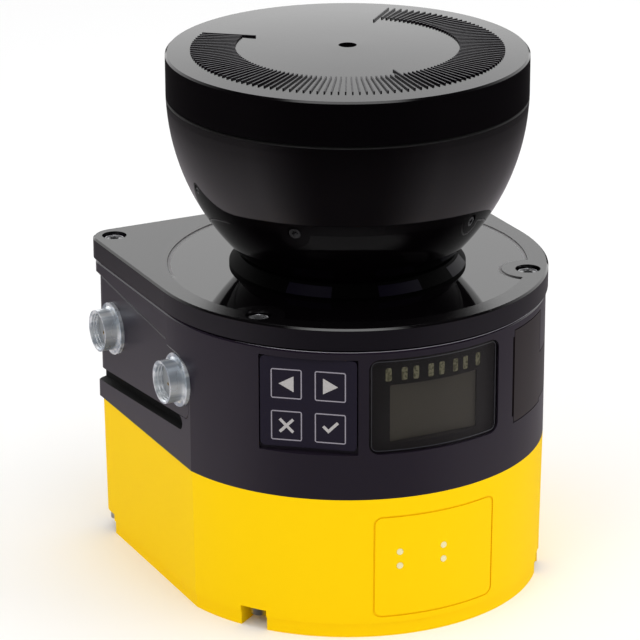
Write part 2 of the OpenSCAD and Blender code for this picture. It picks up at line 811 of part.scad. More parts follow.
module status_light_guides() {
    color("khaki") intersection() {
        for (x = guide_xs) translate([x, 0, 0])
            upright_plate(guide_w, guide_h, 0.5, lcd_back, 10, guide_z);
        cylinder(r = mask_r - 0.1, h = seam_z);
    }
}

module display_board() {
    color("darkgreen")
        upright_plate(display_board_w, display_board_h, 0.8, mask_back, lcd_back - mask_back, panel_z);
}

// ---- service cover and socket ----

module usb_cover() {
    color([0.15, 0.14, 0.16]) {
        difference() {
            cover_form(cover_r - cover_t, cover_r, 0);
            facing(hinge_angle) translate([0, -hinge_r, 0])
                cylinder(r = hinge_barrel_r - 0.3, h = seam_z);
        }
        difference() {
            facing(hinge_angle) translate([0, -hinge_r, arm_z - hinge_barrel_h / 2])
                cylinder(r = hinge_barrel_r, h = hinge_barrel_h);
            hinge_pin(hinge_pin_r + 0.05, 2);
        }
    }
}

module usb_hinge_pin() {
    color("silver") hinge_pin(hinge_pin_r, 0);
}

module usb_socket() {
    color("silver") facing(usb_angle) difference() {
        upright_plate(usb_shell[0], usb_shell[1], 0.5, usb_mouth_r - 7, 7, usb_z);
        upright_plate(usb_shell[0] - 1, usb_shell[1] - 1, 0.4, usb_mouth_r - 6, 7, usb_z);
    }
    color("black") facing(usb_angle) upright_plate(6.4, 1.4, 0.2, usb_mouth_r - 6.1, 5, usb_z);
}

module usb_board() {
    color("darkgreen") facing(usb_angle)
        upright_plate(18, 16, 1, usb_mouth_r - 7 - board_t, board_t, usb_z);
}

// ---- boards inside ----

module main_board() {
    color("darkgreen") difference() {
        union() {
            flat_board(main_hw, main_y0, main_y1, main_z);
            translate([-20, -14, main_z]) cube([18, 18, board_t + 1.6]);
            translate([4, -20, main_z]) cube([12, 12, board_t + 1.2]);
            for (x = [-24, -10, 6]) translate([x, 24, main_z]) cylinder(r = 4, h = board_t + 9);
        }
        board_holes(main_posts, main_z);
    }
}

// ---- lid ----

lid_corner_r = rear_corner_r;
lid_edge = 0.5;
lid_ring_depth = 0.35;
lobe_r = 7.3;
screw_sink_r = 3.5;
screw_sink = 3.4;
neck_in_r = neck_r - hood_t;
neck_sink = 2.5;
frame_hole_r = neck_in_r - 4;

module lid_gasket() {
    color([0.06, 0.06, 0.06]) difference() {
        outline_seal(seam_z, 1.4, 1.2, lid_gap);
        at_screws() translate([0, 0, seam_z - 1]) cylinder(r = screw_r + 0.1, h = lid_gap + 2);
    }
}

module lid_plate() {
    color([0.19, 0.19, 0.2]) difference() {
        translate([0, 0, lid_z0]) {
            body_block(lid_r, lid_r, back_depth, lid_corner_r, lid_t - lid_edge);
            translate([0, 0, lid_t - lid_edge])
                body_block(lid_r, lid_r, back_depth, lid_corner_r, lid_edge, 0, lid_edge);
        }
        translate([0, 0, lid_z - lid_ring_depth]) difference() {
            cylinder(r = lid_ring_r, h = 2);
            for (i = [0, 1]) translate([screw_spots[i][0], screw_spots[i][1], -1])
                cylinder(r = lobe_r, h = 4);
        }
        translate([0, 0, lid_z - neck_sink]) cylinder(r = neck_r + 0.05, h = neck_sink + 1);
        translate([0, 0, lid_z0 - 1]) cylinder(r = frame_hole_r, h = lid_t + 2);
        frame_screw_holes(lid_z0 - 1);
        at_screws() {
            translate([0, 0, lid_z - screw_sink]) cylinder(r = screw_sink_r, h = screw_sink + 1);
            translate([0, 0, lid_z0 - 1]) cylinder(r = screw_r + fit_gap, h = lid_t);
        }
    }
}

lid_screw_top = lid_z - 0.9;

module lid_screws() {
    color("dimgray") at_screws() difference() {
        union() {
            translate([0, 0, lid_z - screw_sink])
                cylinder(r = lid_screw_head_r, h = lid_screw_top - lid_z + screw_sink);
            translate([0, 0, seam_z - lid_screw_reach])
                cylinder(r = screw_r, h = lid_gap + lid_t - screw_sink + lid_screw_reach);
        }
        translate([0, 0, lid_screw_top - 1.6]) for (a = [0, 60, 120]) rotate([0, 0, a])
            translate([-1.5, -0.45, 0]) cube([3, 0.9, 3]);
    }
}

// The sloping collar at the foot of the neck.
window_angles = [-46, 0, 46];
window_half = 11.5;

module collar_ring() {
    rotate_extrude() polygon([
        [neck_r + 0.05, lid_z - lid_ring_depth], [neck_r + collar_w, lid_z - lid_ring_depth],
        [neck_r + collar_w, lid_z + 0.5], [neck_r + 0.8, lid_z + collar_h],
        [neck_r + 0.05, lid_z + collar_h]]);
}

module window_wedges(g) {
    for (a = window_angles) ring_part(a - window_half + g, a + window_half - g,
        neck_r + 0.6 + g, neck_r + 9, lid_z + 0.4 + g, collar_h - 1 - 2 * g);
}

module light_collar() {
    color([0.1, 0.1, 0.11]) difference() {
        collar_ring();
        window_wedges(0);
    }
}

module collar_windows() {
    color([0.3, 0.25, 0.35]) intersection() {
        collar_ring();
        window_wedges(0.05);
    }
}

// ---- scanning head ----

band_draft = 4;
hood_edge = 0.35;
bowl_a0 = band_draft;
bowl_low_z = lid_z + collar_h + 0.2;
bowl_top_r = hood_rim_r - hood_band_h * tan(band_draft);
bowl_top_z = rim_z - hood_band_h;
// The bowl's curve starts in line with the band and ends at the neck.
bowl_fall = [neck_r + 0.3 - bowl_top_r, bowl_low_z - bowl_top_z];
bowl_in = [-cos(bowl_a0), sin(bowl_a0)];
bowl_r = (bowl_fall * bowl_fall) / (2 * bowl_fall * bowl_in);
bowl_centre = [bowl_top_r, bowl_top_z] + bowl_r * bowl_in;

// Half of the hood's section as a solid of revolution, inward by g.
module bowl_section(g) {
    intersection() {
        translate(bowl_centre) circle(r = bowl_r - g, $fn = 128);
        translate([0, bowl_low_z]) square([lid_r, bowl_top_z - bowl_low_z]);
    }
    translate([0, lid_z - neck_sink]) square([neck_r - g, bowl_low_z - lid_z + neck_sink + 4]);
    translate([0, bowl_top_z]) polygon([[0, -eps], [bowl_top_r - g, -eps], [bowl_top_r - g, 0],
        [hood_rim_r - g, hood_band_h], [0, hood_band_h]]);
}

module optics_hood() {
    color([0.08, 0.07, 0.08]) rotate_extrude() difference() {
        bowl_section(0);
        intersection() {
            bowl_section(hood_t);
            translate([0, lid_z - neck_sink - 1]) square([lid_r, hood_h + neck_sink + 2]);
        }
        translate([0, lid_z - neck_sink - 1]) square([neck_in_r, 8]);
        translate([0, rim_z - 0.1]) square([hood_rim_r - hood_t, 2]);
        translate([hood_rim_r, rim_z])
            polygon([[-hood_edge, 0], [0, -hood_edge], [1, -hood_edge], [1, 1], [-hood_edge, 1]]);
    }
}

cap_skirt = 2.6;
cap_top_t = 3;
cap_lip = 2.2;
cap_edge = 0.5;
dome_r = (hood_rim_r * hood_rim_r + cap_dome * cap_dome) / (2 * cap_dome);

function dome_z(r) = cap_z + cap_dome - dome_r + sqrt(dome_r * dome_r - r * r);

module cap_seal() {
    color([0.05, 0.05, 0.05]) translate([0, 0, rim_z]) difference() {
        cylinder(r = hood_rim_r - 0.7, h = cap_gap);
        translate([0, 0, -1]) cylinder(r = hood_rim_r - hood_t, h = cap_gap + 2);
    }
}

module cap_section() {
    difference() {
        union() {
            translate([0, cap_z0]) square([hood_rim_r, cap_h - cap_edge]);
            polygon([[0, cap_z - cap_edge - eps], [hood_rim_r, cap_z - cap_edge],
                [hood_rim_r - cap_edge, cap_z], [0, cap_z]]);
            intersection() {
                translate([0, cap_z + cap_dome - dome_r]) circle(r = dome_r, $fn = 720);
                translate([0, cap_z - 0.1]) square([hood_rim_r - cap_edge, 10]);
            }
            translate([0, cap_z0 - cap_lip]) square([hood_rim_r - hood_t - 0.3, cap_lip + 1]);
        }
        translate([0, cap_z0 - cap_lip - 1])
            square([hood_rim_r - hood_t - cap_skirt, cap_h + cap_lip - cap_top_t + 1]);
        translate([0, cap_z + 0.4]) square([2.5, 5]);
    }
}

long_mark = 3.6;

// The ribs that mark the scanner's range.
module range_marks() {
    slope = atan((dome_z(mark_in_r) - dome_z(mark_out_r)) / (mark_out_r - mark_in_r));
    n = floor(2 * mark_half_range / mark_step);
    for (i = [0:n]) facing(-mark_half_range + i * mark_step)
        translate([0, -mark_out_r, dome_z(mark_out_r)]) rotate([slope, 0, 0])
            translate([-mark_w / 2, 0, -1]) cube([mark_w,
                mark_out_r - mark_in_r + (i == 0 || i == n || 2 * i == n ? long_mark : 0), mark_up + 1]);
}

module head_cap() {
    color([0.22, 0.22, 0.23]) {
        rotate_extrude($fn = 180) cap_section();
        range_marks();
    }
}

// ---- scanning optics ----

flange_z = lid_z - neck_sink;
frame_flange_t = 3.3;
frame_floor_z = flange_z + frame_flange_t;
frame_r = neck_in_r - 0.2;
column_y = 22;
column_d = 3.5;
column_w = 16;
scan_z = lid_z + scan_up;
carrier_z0 = scan_z - mirror_r - 1.2;
ring_z = scan_z + mirror_r + 0.8;
ring_h = 4;
frame_screw_at = frame_r - 1.9;
frame_screw_r = 1;
disc_r = column_y - 1;
disc_z = frame_floor_z + 4.5;
disc_t = 1;
can_z0 = flange_z - 11.7;
can_wall = 2.4;
bearing_h = 2.5;
bearing_r = 6;
can_flange_t = 1;
can_top = frame_floor_z + can_flange_t;
mirror_t = 1.6;
receiver_z = cap_z0 + 5.2;

module frame_screw_holes(z) {
    for (a = [0, 120, 240]) facing(a) translate([0, -frame_screw_at, z])
        cylinder(r = frame_screw_r + thread_gap, h = 20, $fn = 32);
}

module optics_frame() {
    color([0.25, 0.25, 0.27]) difference() {
        union() {
            translate([0, 0, flange_z]) cylinder(r = frame_r, h = frame_flange_t);
            translate([-column_w / 2, column_y, flange_z])
                cube([column_w, column_d, ring_z - flange_z + ring_h]);
            translate([0, 0, ring_z]) cylinder(r = lens_r + 6, h = ring_h);
        }
        translate([0, 0, flange_z - 1]) cylinder(r = motor_r + 0.05, h = frame_flange_t + 2);
        translate([0, 0, ring_z - 1]) cylinder(r = lens_r - 1.2, h = ring_h + 2);
        translate([0, 0, ring_z + 1.2]) cylinder(r = lens_r + 0.05, h = ring_h);
        frame_screw_holes(flange_z - 1);
    }
}

module frame_screws() {
    color("silver") for (a = [0, 120, 240]) facing(a) translate([0, -frame_screw_at, 0]) difference() {
        union() {
            translate([0, 0, lid_z0 + 0.5])
                cylinder(r = frame_screw_r, h = frame_floor_z - lid_z0 - 0.4, $fn = 32);
            translate([0, 0, frame_floor_z]) cylinder(r = 1.8, h = 1.4, $fn = 32);
        }
        translate([0, 0, frame_floor_z + 0.6]) cylinder(r = 1, h = 2, $fn = 6);
    }
}

module motor_stator() {
    color("dimgray") difference() {
        union() {
            translate([0, 0, can_z0]) cylinder(r = motor_r, h = can_top - can_z0);
            translate([0, 0, frame_floor_z]) cylinder(r = motor_r + 2, h = can_flange_t);
        }
        translate([0, 0, can_z0 + bearing_h]) cylinder(r = motor_r - can_wall,
            h = can_top - can_z0 - 2 * bearing_h);
        translate([0, 0, can_z0 - 1]) cylinder(r = bearing_r, h = can_top - can_z0 + 2);
    }
}

module motor_bearings() {
    color("silver") for (z = [can_z0, can_top - bearing_h]) translate([0, 0, z]) difference() {
        cylinder(r = bearing_r, h = bearing_h);
        translate([0, 0, -1]) cylinder(r = shaft_r + shaft_clear, h = bearing_h + 2);
    }
}

module motor_shaft() {
    color("lightsteelblue") translate([0, 0, can_z0 - 0.5]) cylinder(r = shaft_r,
        h = carrier_z0 + 5 - can_z0 + 0.5);
}

module rotor_magnet() {
    color("darkslategray") translate([0, 0, can_z0 + bearing_h + 1]) difference() {
        cylinder(r = motor_r - can_wall - 0.8, h = can_top - can_z0 - 2 * bearing_h - 2);
        translate([0, 0, -1]) cylinder(r = shaft_r + eps, h = 30);
    }
}

module encoder_disc() {
    color("gray") translate([0, 0, disc_z]) difference() {
        union() {
            cylinder(r = disc_r, h = disc_t);
            translate([0, 0, -1.2]) cylinder(r = 5, h = carrier_z0 - disc_z + 1.2);
        }
        translate([0, 0, -3]) cylinder(r = shaft_r + eps, h = 20);
        for (i = [0:23]) facing(i * 15) translate([-0.8, 1 - disc_r, -1]) cube([1.6, 3, 4]);
    }
}

module encoder_sensor() {
    color("black") facing(90) difference() {
        translate([-3.5, 1.2 - frame_r, frame_floor_z])
            cube([7, frame_r - disc_r + 1.8, disc_z - frame_floor_z + 4.5]);
        translate([-4, 0.3 - disc_r - 0.6, disc_z - 0.3]) cube([8, 10, disc_t + 0.6]);
    }
}

// Everything below the slanted mirror's back face.
module below_mirror(drop) {
    translate([0, 0, scan_z]) rotate([45, 0, 0]) translate([-40, -60, -80 - drop]) cube([80, 120, 80]);
}

module mirror_carrier() {
    color([0.2, 0.2, 0.22]) difference() {
        intersection() {
            translate([0, 0, carrier_z0]) cylinder(r = mirror_r, h = 2 * mirror_r + 2);
            below_mirror(mirror_t);
        }
        translate([0, 0, carrier_z0 - 1]) cylinder(r = shaft_r + eps, h = 6);
    }
}

module scan_mirror() {
    color("lavender") intersection() {
        translate([0, 0, carrier_z0]) cylinder(r = mirror_r - 0.4, h = 2 * mirror_r + 2);
        difference() {
            below_mirror(0);
            below_mirror(mirror_t);
        }
    }
}

laser_r = 4;

module receiver_lens() {
    color([0.4, 0.1, 0.12, 0.7]) translate([0, 0, ring_z + 1.2]) rotate_extrude() difference() {
        intersection() {
            square([lens_r, 8]);
            translate([0, 6 - 40]) circle(r = 40);
        }
        translate([0, -1]) square([laser_r + 0.05, 20]);
    }
}

module laser_module() {
    color("goldenrod") translate([0, 0, ring_z]) difference() {
        cylinder(r = laser_r, h = receiver_z - ring_z);
        translate([0, 0, -1]) cylinder(r = 1.6, h = 4);
    }
}

module receiver_holder() {
    color([0.2, 0.2, 0.22]) translate([0, 0, ring_z + ring_h]) difference() {
        cylinder(r = lens_r + 4, h = receiver_z - ring_z - ring_h);
        translate([0, 0, -1]) cylinder(r = lens_r + 2, h = 20);
        for (a = [0, 90]) rotate([0, 0, a]) translate([-lens_r - 5, -6, 1.5])
            cube([2 * lens_r + 10, 12, receiver_z - ring_z - ring_h - 3]);
    }
}

module receiver_board() {
    color("darkgreen") translate([0, 0, receiver_z]) {
        cylinder(r = lens_r + 4, h = 1.2);
        translate([-12, 6, 0]) cube([8, 8, 2]);
        translate([5, -14, 0]) cube([7, 6, 2.2]);
    }
}

base_housing();
base_light_guides();
base_screws();
base_gasket();
interface_board();
board_link();
upper_housing();
system_plug();
plug_seal();
connector_shell_front();
connector_shell_rear();
connector_insert_front();
connector_insert_rear();
connector_contacts();
keypad_panel();
key_back();
key_next();
key_cancel();
key_confirm();
keypad_board();
display_window();
display_mask();
lcd_panel();
status_light_guides();
display_board();
usb_cover();
usb_hinge_pin();
usb_socket();
usb_board();
main_board();
lid_gasket();
lid_plate();
lid_screws();
light_collar();
collar_windows();
optics_hood();
cap_seal();
head_cap();
optics_frame();
frame_screws();
motor_stator();
motor_bearings();
motor_shaft();
rotor_magnet();
mirror_carrier();
scan_mirror();
encoder_disc();
encoder_sensor();
receiver_lens();
receiver_holder();
receiver_board();
laser_module();
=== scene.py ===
"""Compact safety laser scanner: finishes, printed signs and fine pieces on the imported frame, and its studio."""

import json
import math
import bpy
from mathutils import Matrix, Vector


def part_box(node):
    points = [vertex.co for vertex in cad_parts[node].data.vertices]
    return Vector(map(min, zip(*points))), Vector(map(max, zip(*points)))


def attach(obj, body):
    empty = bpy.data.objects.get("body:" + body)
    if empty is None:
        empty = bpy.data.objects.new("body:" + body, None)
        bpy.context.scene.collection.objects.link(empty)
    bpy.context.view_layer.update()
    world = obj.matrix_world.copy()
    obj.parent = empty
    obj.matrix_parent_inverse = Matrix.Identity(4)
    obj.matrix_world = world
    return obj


bl_info = {
    "name": "Safety Laser Scanner",
    "version": (1, 0, 0),
    "blender": (4, 5, 0),
    "location": "View3D > Sidebar > Scanner",
    "description": "Finishes and fine pieces for a compact safety laser scanner",
    "category": "Object",
}

import bmesh
import bpy
from bpy.props import FloatProperty, FloatVectorProperty, IntProperty, PointerProperty
from mathutils import Matrix, Vector

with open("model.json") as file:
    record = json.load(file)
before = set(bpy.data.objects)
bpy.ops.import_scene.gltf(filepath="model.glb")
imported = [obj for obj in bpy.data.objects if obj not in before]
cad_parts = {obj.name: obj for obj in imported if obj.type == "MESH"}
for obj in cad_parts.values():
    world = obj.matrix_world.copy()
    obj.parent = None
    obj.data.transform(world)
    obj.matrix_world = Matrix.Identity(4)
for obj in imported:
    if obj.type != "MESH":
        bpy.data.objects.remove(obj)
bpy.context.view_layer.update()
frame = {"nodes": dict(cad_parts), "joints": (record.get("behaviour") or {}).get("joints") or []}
NODES = frame["nodes"]
MM = 0.001
ROOT = "housing"
KEYS = ("key_back", "key_next", "key_cancel", "key_confirm")


def low(piece):
    """Lowest corner of a node's box."""
    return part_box(piece)[0]


def high(piece):
    """Highest corner of a node's box."""
    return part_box(piece)[1]


def points_of(piece):
    """Corners of a node's mesh."""
    return [v.co.copy() for v in NODES[piece].data.vertices]


# Places read from the frame, in metres
LID_TOP = high("lid_plate").z
HOOD_TOP = high("optics_hood").z
RING_DROP = 0.35 * MM  # the lid's sunk ring lies this far below its rim
RING_R = 50.3 * MM
DOME_R = 836.5 * MM  # the cap's top is part of a ball this big
MARK_UP = 0.45 * MM  # the cap's marks stand up this far
MARK_IN_R = 27.04 * MM  # and the longest reach in to this distance from the scan axis
PLUG_X = low("system_plug").x
SLOT_Z = 52.54 * MM  # height of the flank slot's middle line at the scan axis
BOARD_T = 1.6 * MM
SLIP = 0.03 * MM  # how far a level may be missed
SATIN = {"grain": 1900, "depth": 0.5, "bump": 0.000012}
CLEAR = {"depth": 0.0, "rough_change": 0.01}
PRESS = Vector(next(j["axis"] for j in frame["joints"] if j["child"] == "key_back_body")).normalized()
FACE_OUT = -PRESS
FACE_RIGHT = Vector((-FACE_OUT.y, FACE_OUT.x, 0))
UP = Vector((0, 0, 1))


def face_place(piece):
    """Middle of a piece's outer face on the keypad."""
    pts = points_of(piece)
    out = max(p.dot(FACE_OUT) for p in pts)
    side = [p.dot(FACE_RIGHT) for p in pts]
    rise = [p.z for p in pts]
    return FACE_OUT * out + FACE_RIGHT * ((min(side) + max(side)) / 2) + UP * ((min(rise) + max(rise)) / 2)


def screw_places(piece):
    """Top middle of each of the four screws of a node."""
    spots = []
    for sx in (-1, 1):
        for sy in (-1, 1):
            pts = [p for p in points_of(piece) if p.x * sx > 0 and p.y * sy > 0]
            spots.append(Vector(((min(p.x for p in pts) + max(p.x for p in pts)) / 2,
                                 (min(p.y for p in pts) + max(p.y for p in pts)) / 2, max(p.z for p in pts))))
    return spots


# ---- node helpers ----


def link(tree, a, b):
    tree.links.new(a, b)


def node(tree, kind, **values):
    """Adds a node at the next place of its tree's rows, its properties and unlinked inputs set by name."""
    row, column = divmod(len(tree.nodes), 8)
    n = tree.nodes.new(kind)
    n.location = (240 * column, -300 * row)
    for key, value in values.items():
        if hasattr(n, key):
            setattr(n, key, value)
        else:
            n.inputs[key.replace("_", " ")].default_value = value
    return n


def maths(tree, operation, a, b=None, c=None, clamp=False):
    """A math node; each of a, b and c is a number or a socket. Returns its output."""
    n = node(tree, "ShaderNodeMath", operation=operation, use_clamp=clamp)
    for k, v in enumerate((a, b, c)):
        if v is None:
            continue
        if isinstance(v, (int, float)):
            n.inputs[k].default_value = v
        else:
            link(tree, v, n.inputs[k])
    return n.outputs[0]


def product(tree, *values):
    """Several masks or numbers multiplied."""
    out = values[0]
    for v in values[1:]:
        out = maths(tree, "MULTIPLY", out, v)
    return out


def remap(tree, value, a0, a1, b0, b1, kind="SMOOTHSTEP"):
    """Takes a value from the range a0 to a1 to the range b0 to b1."""
    n = node(tree, "ShaderNodeMapRange", interpolation_type=kind)
    link(tree, value, n.inputs["Value"])
    for name, v in zip(("From Min", "From Max", "To Min", "To Max"), (a0, a1, b0, b1)):
        n.inputs[name].default_value = v
    return n.outputs["Result"]


def coords_of(tree):
    """The surface's place in the object's own space, in metres."""
    return node(tree, "ShaderNodeTexCoord").outputs["Object"]


def place_of(tree):
    """X, Y and Z of that place."""
    split = node(tree, "ShaderNodeSeparateXYZ")
    link(tree, coords_of(tree), split.inputs[0])
    return split.outputs


def radius_of(tree, place):
    """Distance from the scan axis."""
    return maths(tree, "SQRT", maths(tree, "ADD", maths(tree, "POWER", place[0], 2.0),
                                     maths(tree, "POWER", place[1], 2.0)))


def within(tree, value, bottom=None, top=None):
    """1 where a value lies between bottom and top, 0 elsewhere."""
    masks = []
    if bottom is not None:
        masks.append(maths(tree, "GREATER_THAN", value, bottom))
    if top is not None:
        masks.append(maths(tree, "LESS_THAN", value, top))
    return product(tree, *masks)


def shader_group(name, inputs, outputs):
    """An empty shader group with its named sockets; returns the tree, its input node and its output node."""
    tree = bpy.data.node_groups.new(name, "ShaderNodeTree")
    for label, kind, value in inputs:
        tree.interface.new_socket(label, in_out="INPUT", socket_type=kind).default_value = value
    for label, kind in outputs:
        tree.interface.new_socket(label, in_out="OUTPUT", socket_type=kind)
    return tree, node(tree, "NodeGroupInput"), node(tree, "NodeGroupOutput")


NUMBER, COLOUR = "NodeSocketFloat", "NodeSocketColor"


def grain_group():
    """Fine moulded or painted grain: a height for the bump and a small change of roughness and tone."""
    tree, gin, gout = shader_group(
        "Surface Grain",
        [("Scale", NUMBER, 900.0), ("Depth", NUMBER, 0.4), ("Roughness", NUMBER, 0.3),
         ("Roughness Change", NUMBER, 0.05), ("Colour", COLOUR, (0.5, 0.5, 0.5, 1)),
         ("Tone Change", NUMBER, 0.05)],
        [("Height", NUMBER), ("Roughness", NUMBER), ("Colour", COLOUR)])
    coords = coords_of(tree)
    fine = node(tree, "ShaderNodeTexNoise", Detail=2.0)
    broad = node(tree, "ShaderNodeTexNoise", Scale=22.0, Detail=3.0)
    link(tree, coords, fine.inputs["Vector"])
    link(tree, coords, broad.inputs["Vector"])
    link(tree, gin.outputs["Scale"], fine.inputs["Scale"])
    link(tree, maths(tree, "MULTIPLY", fine.outputs["Fac"], gin.outputs["Depth"]), gout.inputs["Height"])
    change = maths(tree, "SUBTRACT", broad.outputs["Fac"], 0.5)
    link(tree, maths(tree, "MULTIPLY_ADD", change, gin.outputs["Roughness Change"], gin.outputs["Roughness"],
                     clamp=True), gout.inputs["Roughness"])
    tone = maths(tree, "MULTIPLY_ADD", change, gin.outputs["Tone Change"], 1.0)
    mix = node(tree, "ShaderNodeVectorMath", operation="SCALE")
    link(tree, gin.outputs["Colour"], mix.inputs[0])
    link(tree, tone, mix.inputs["Scale"])
    link(tree, mix.outputs[0], gout.inputs["Colour"])
    return tree


def turned_group():
    """Fine lines that turning leaves: a height that changes with one measure of the surface's place."""
    tree, gin, gout = shader_group("Turned Lines", [("Along", NUMBER, 0.0), ("Scale", NUMBER, 6000.0),
                                                    ("Depth", NUMBER, 0.5)], [("Height", NUMBER)])
    noise = node(tree, "ShaderNodeTexNoise", noise_dimensions="1D", Detail=1.0)
    link(tree, maths(tree, "MULTIPLY", gin.outputs["Along"], gin.outputs["Scale"]), noise.inputs["W"])
    link(tree, maths(tree, "MULTIPLY", noise.outputs["Fac"], gin.outputs["Depth"]), gout.inputs["Height"])
    return tree


def tracks_group():
    """Copper under the lacquer of a circuit board: a mask of the tracks and one of the bare pads."""
    tree, gin, gout = shader_group("Board Tracks", [("Scale", NUMBER, 420.0)],
                                   [("Tracks", NUMBER), ("Pads", NUMBER)])
    coords = coords_of(tree)
    cells = node(tree, "ShaderNodeTexVoronoi", distance="MANHATTAN", feature="F1", Randomness=0.8)
    pads = node(tree, "ShaderNodeTexVoronoi", distance="CHEBYCHEV", feature="F1", Randomness=0.35)
    for n in (cells, pads):
        link(tree, coords, n.inputs["Vector"])
        link(tree, gin.outputs["Scale"], n.inputs["Scale"])
    tracks_in_cell, bare_share, pad_size = 4.0, 0.62, 0.16
    wave = maths(tree, "FRACT", maths(tree, "MULTIPLY", cells.outputs["Distance"], tracks_in_cell))
    link(tree, maths(tree, "GREATER_THAN", wave, bare_share), gout.inputs["Tracks"])
    link(tree, maths(tree, "LESS_THAN", pads.outputs["Distance"], pad_size), gout.inputs["Pads"])
    return tree


def dots_group():
    """The fine grid of a dot display: 1 in the thin lines between the dots."""
    tree, gin, gout = shader_group("Dot Grid", [("Pitch", NUMBER, 0.00022), ("Line", NUMBER, 0.14)],
                                   [("Lines", NUMBER)])
    x, _, z = place_of(tree)
    masks = []
    for axis in (x, z):
        step = maths(tree, "FRACT", maths(tree, "DIVIDE", axis, gin.outputs["Pitch"]))
        masks.append(maths(tree, "LESS_THAN", step, gin.outputs["Line"]))
    link(tree, maths(tree, "MAXIMUM", *masks), gout.inputs["Lines"])
    return tree


GROUPS = {}


def effect(tree, make_group, **values):
    """Places a shared shader group in a material, with the material's own values; it is built only once."""
    if make_group not in GROUPS:
        GROUPS[make_group] = make_group()
    n = node(tree, "ShaderNodeGroup", node_tree=GROUPS[make_group])
    for name, value in values.items():
        n.inputs[name.replace("_", " ")].default_value = value
    return n


def finish(name, colour, rough, grain=900.0, depth=0.3, bump=0.00002, rough_change=0.05, tone_change=0.06,
           **sockets):
    """A surface finish: the shader's constants on its own sockets, and grain in colour, roughness and normal."""
    mat = bpy.data.materials.new(name)
    mat.use_nodes = True
    tree = mat.node_tree
    shader = tree.nodes["Principled BSDF"]
    g = effect(tree, grain_group, Scale=grain, Depth=depth, Roughness=rough, Roughness_Change=rough_change,
               Colour=(*colour, 1), Tone_Change=tone_change)
    b = node(tree, "ShaderNodeBump", Distance=bump, Strength=1.0)
    link(tree, g.outputs["Height"], b.inputs["Height"])
    link(tree, g.outputs["Roughness"], shader.inputs["Roughness"])
    link(tree, g.outputs["Colour"], shader.inputs["Base Color"])
    link(tree, b.outputs["Normal"], shader.inputs["Normal"])
    for key, value in sockets.items():
        shader.inputs[key.replace("_", " ")].default_value = value
    return mat


def parts_of(mat):
    """A finish's tree, shader, grain and bump nodes."""
    tree = mat.node_tree
    by_type = {n.type: n for n in tree.nodes}
    return tree, by_type["BSDF_PRINCIPLED"], by_type["GROUP"], by_type["BUMP"]


def mixed(tree, mask, a, b):
    """A colour between a and b by a mask; a and b are colours or sockets."""
    m = node(tree, "ShaderNodeMix", data_type="RGBA")
    link(tree, mask, m.inputs["Factor"])
    for name, v in (("A", a), ("B", b)):
        socket = next(s for s in m.inputs if s.name == name and s.type == "RGBA")
        if isinstance(v, tuple):
            socket.default_value = (*v, 1)
        else:
            link(tree, v, socket)
    return next(s for s in m.outputs if s.type == "RGBA")


def turned(mat, axis, scale=6000.0, depth=0.6):
    """Adds turning lines to a metal, along axis 0, 1 or 2, or for "r" round the scan axis."""
    tree, _, g, b = parts_of(mat)
    place = place_of(tree)
    along = radius_of(tree, place) if axis == "r" else place[axis]
    t = effect(tree, turned_group, Scale=scale, Depth=depth)
    link(tree, along, t.inputs["Along"])
    link(tree, maths(tree, "ADD", g.outputs["Height"], t.outputs["Height"]), b.inputs["Height"])
    return mat


def toned(tree, shader, mask, colour):
    """Mixes another colour over a finish by a mask."""
    socket = shader.inputs["Base Color"]
    link(tree, mixed(tree, mask, socket.links[0].from_socket, colour), socket)


def zone(mat, make_mask, roughness, colour=None):
    """Changes a finish where a mask holds: adds to the roughness, and may give another colour."""
    tree, shader, _, _ = parts_of(mat)
    mask = make_mask(tree, place_of(tree))
    rough = shader.inputs["Roughness"].links[0].from_socket
    link(tree, maths(tree, "MULTIPLY_ADD", mask, roughness, rough, clamp=True), shader.inputs["Roughness"])
    if colour:
        toned(tree, shader, mask, colour)


def dress(mat, *names):
    """Puts a finish on CAD nodes by their material slots."""
    for n in names:
        slots = NODES[n].material_slots
        for s in slots:
            s.material = mat
        if not slots:
            NODES[n].data.materials.append(mat)


# ---- mesh helpers ----


def shown(name, data):
    """A new object in the scene, at the origin."""
    obj = bpy.data.objects.new(name, data)
    bpy.context.scene.collection.objects.link(obj)
    return obj


def piece_from(bm, name, mat, body):
    """Turns a bmesh into a piece that rides on a body: normals outwards, finish set."""
    bmesh.ops.remove_doubles(bm, verts=bm.verts, dist=1e-7)
    bmesh.ops.recalc_face_normals(bm, faces=bm.faces)
    mesh = bpy.data.meshes.new(name)
    bm.to_mesh(mesh)
    bm.free()
    mesh.materials.append(mat)
    obj = shown(name, mesh)
    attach(obj, body)
    return obj


def plate(bm, outline, place, right, up, out, sink, rise):
    """Adds a closed plate: an outline in the plane of right and up, from sink behind to rise in front of place."""
    rings = []
    for lift in (-sink, rise):
        rings.append([bm.verts.new(place + right * u + up * v + out * lift) for u, v in outline])
    bm.faces.new(rings[1])
    bm.faces.new(list(reversed(rings[0])))
    n = len(outline)
    for i in range(n):
        j = (i + 1) % n
        bm.faces.new((rings[0][i], rings[0][j], rings[1][j], rings[1][i]))


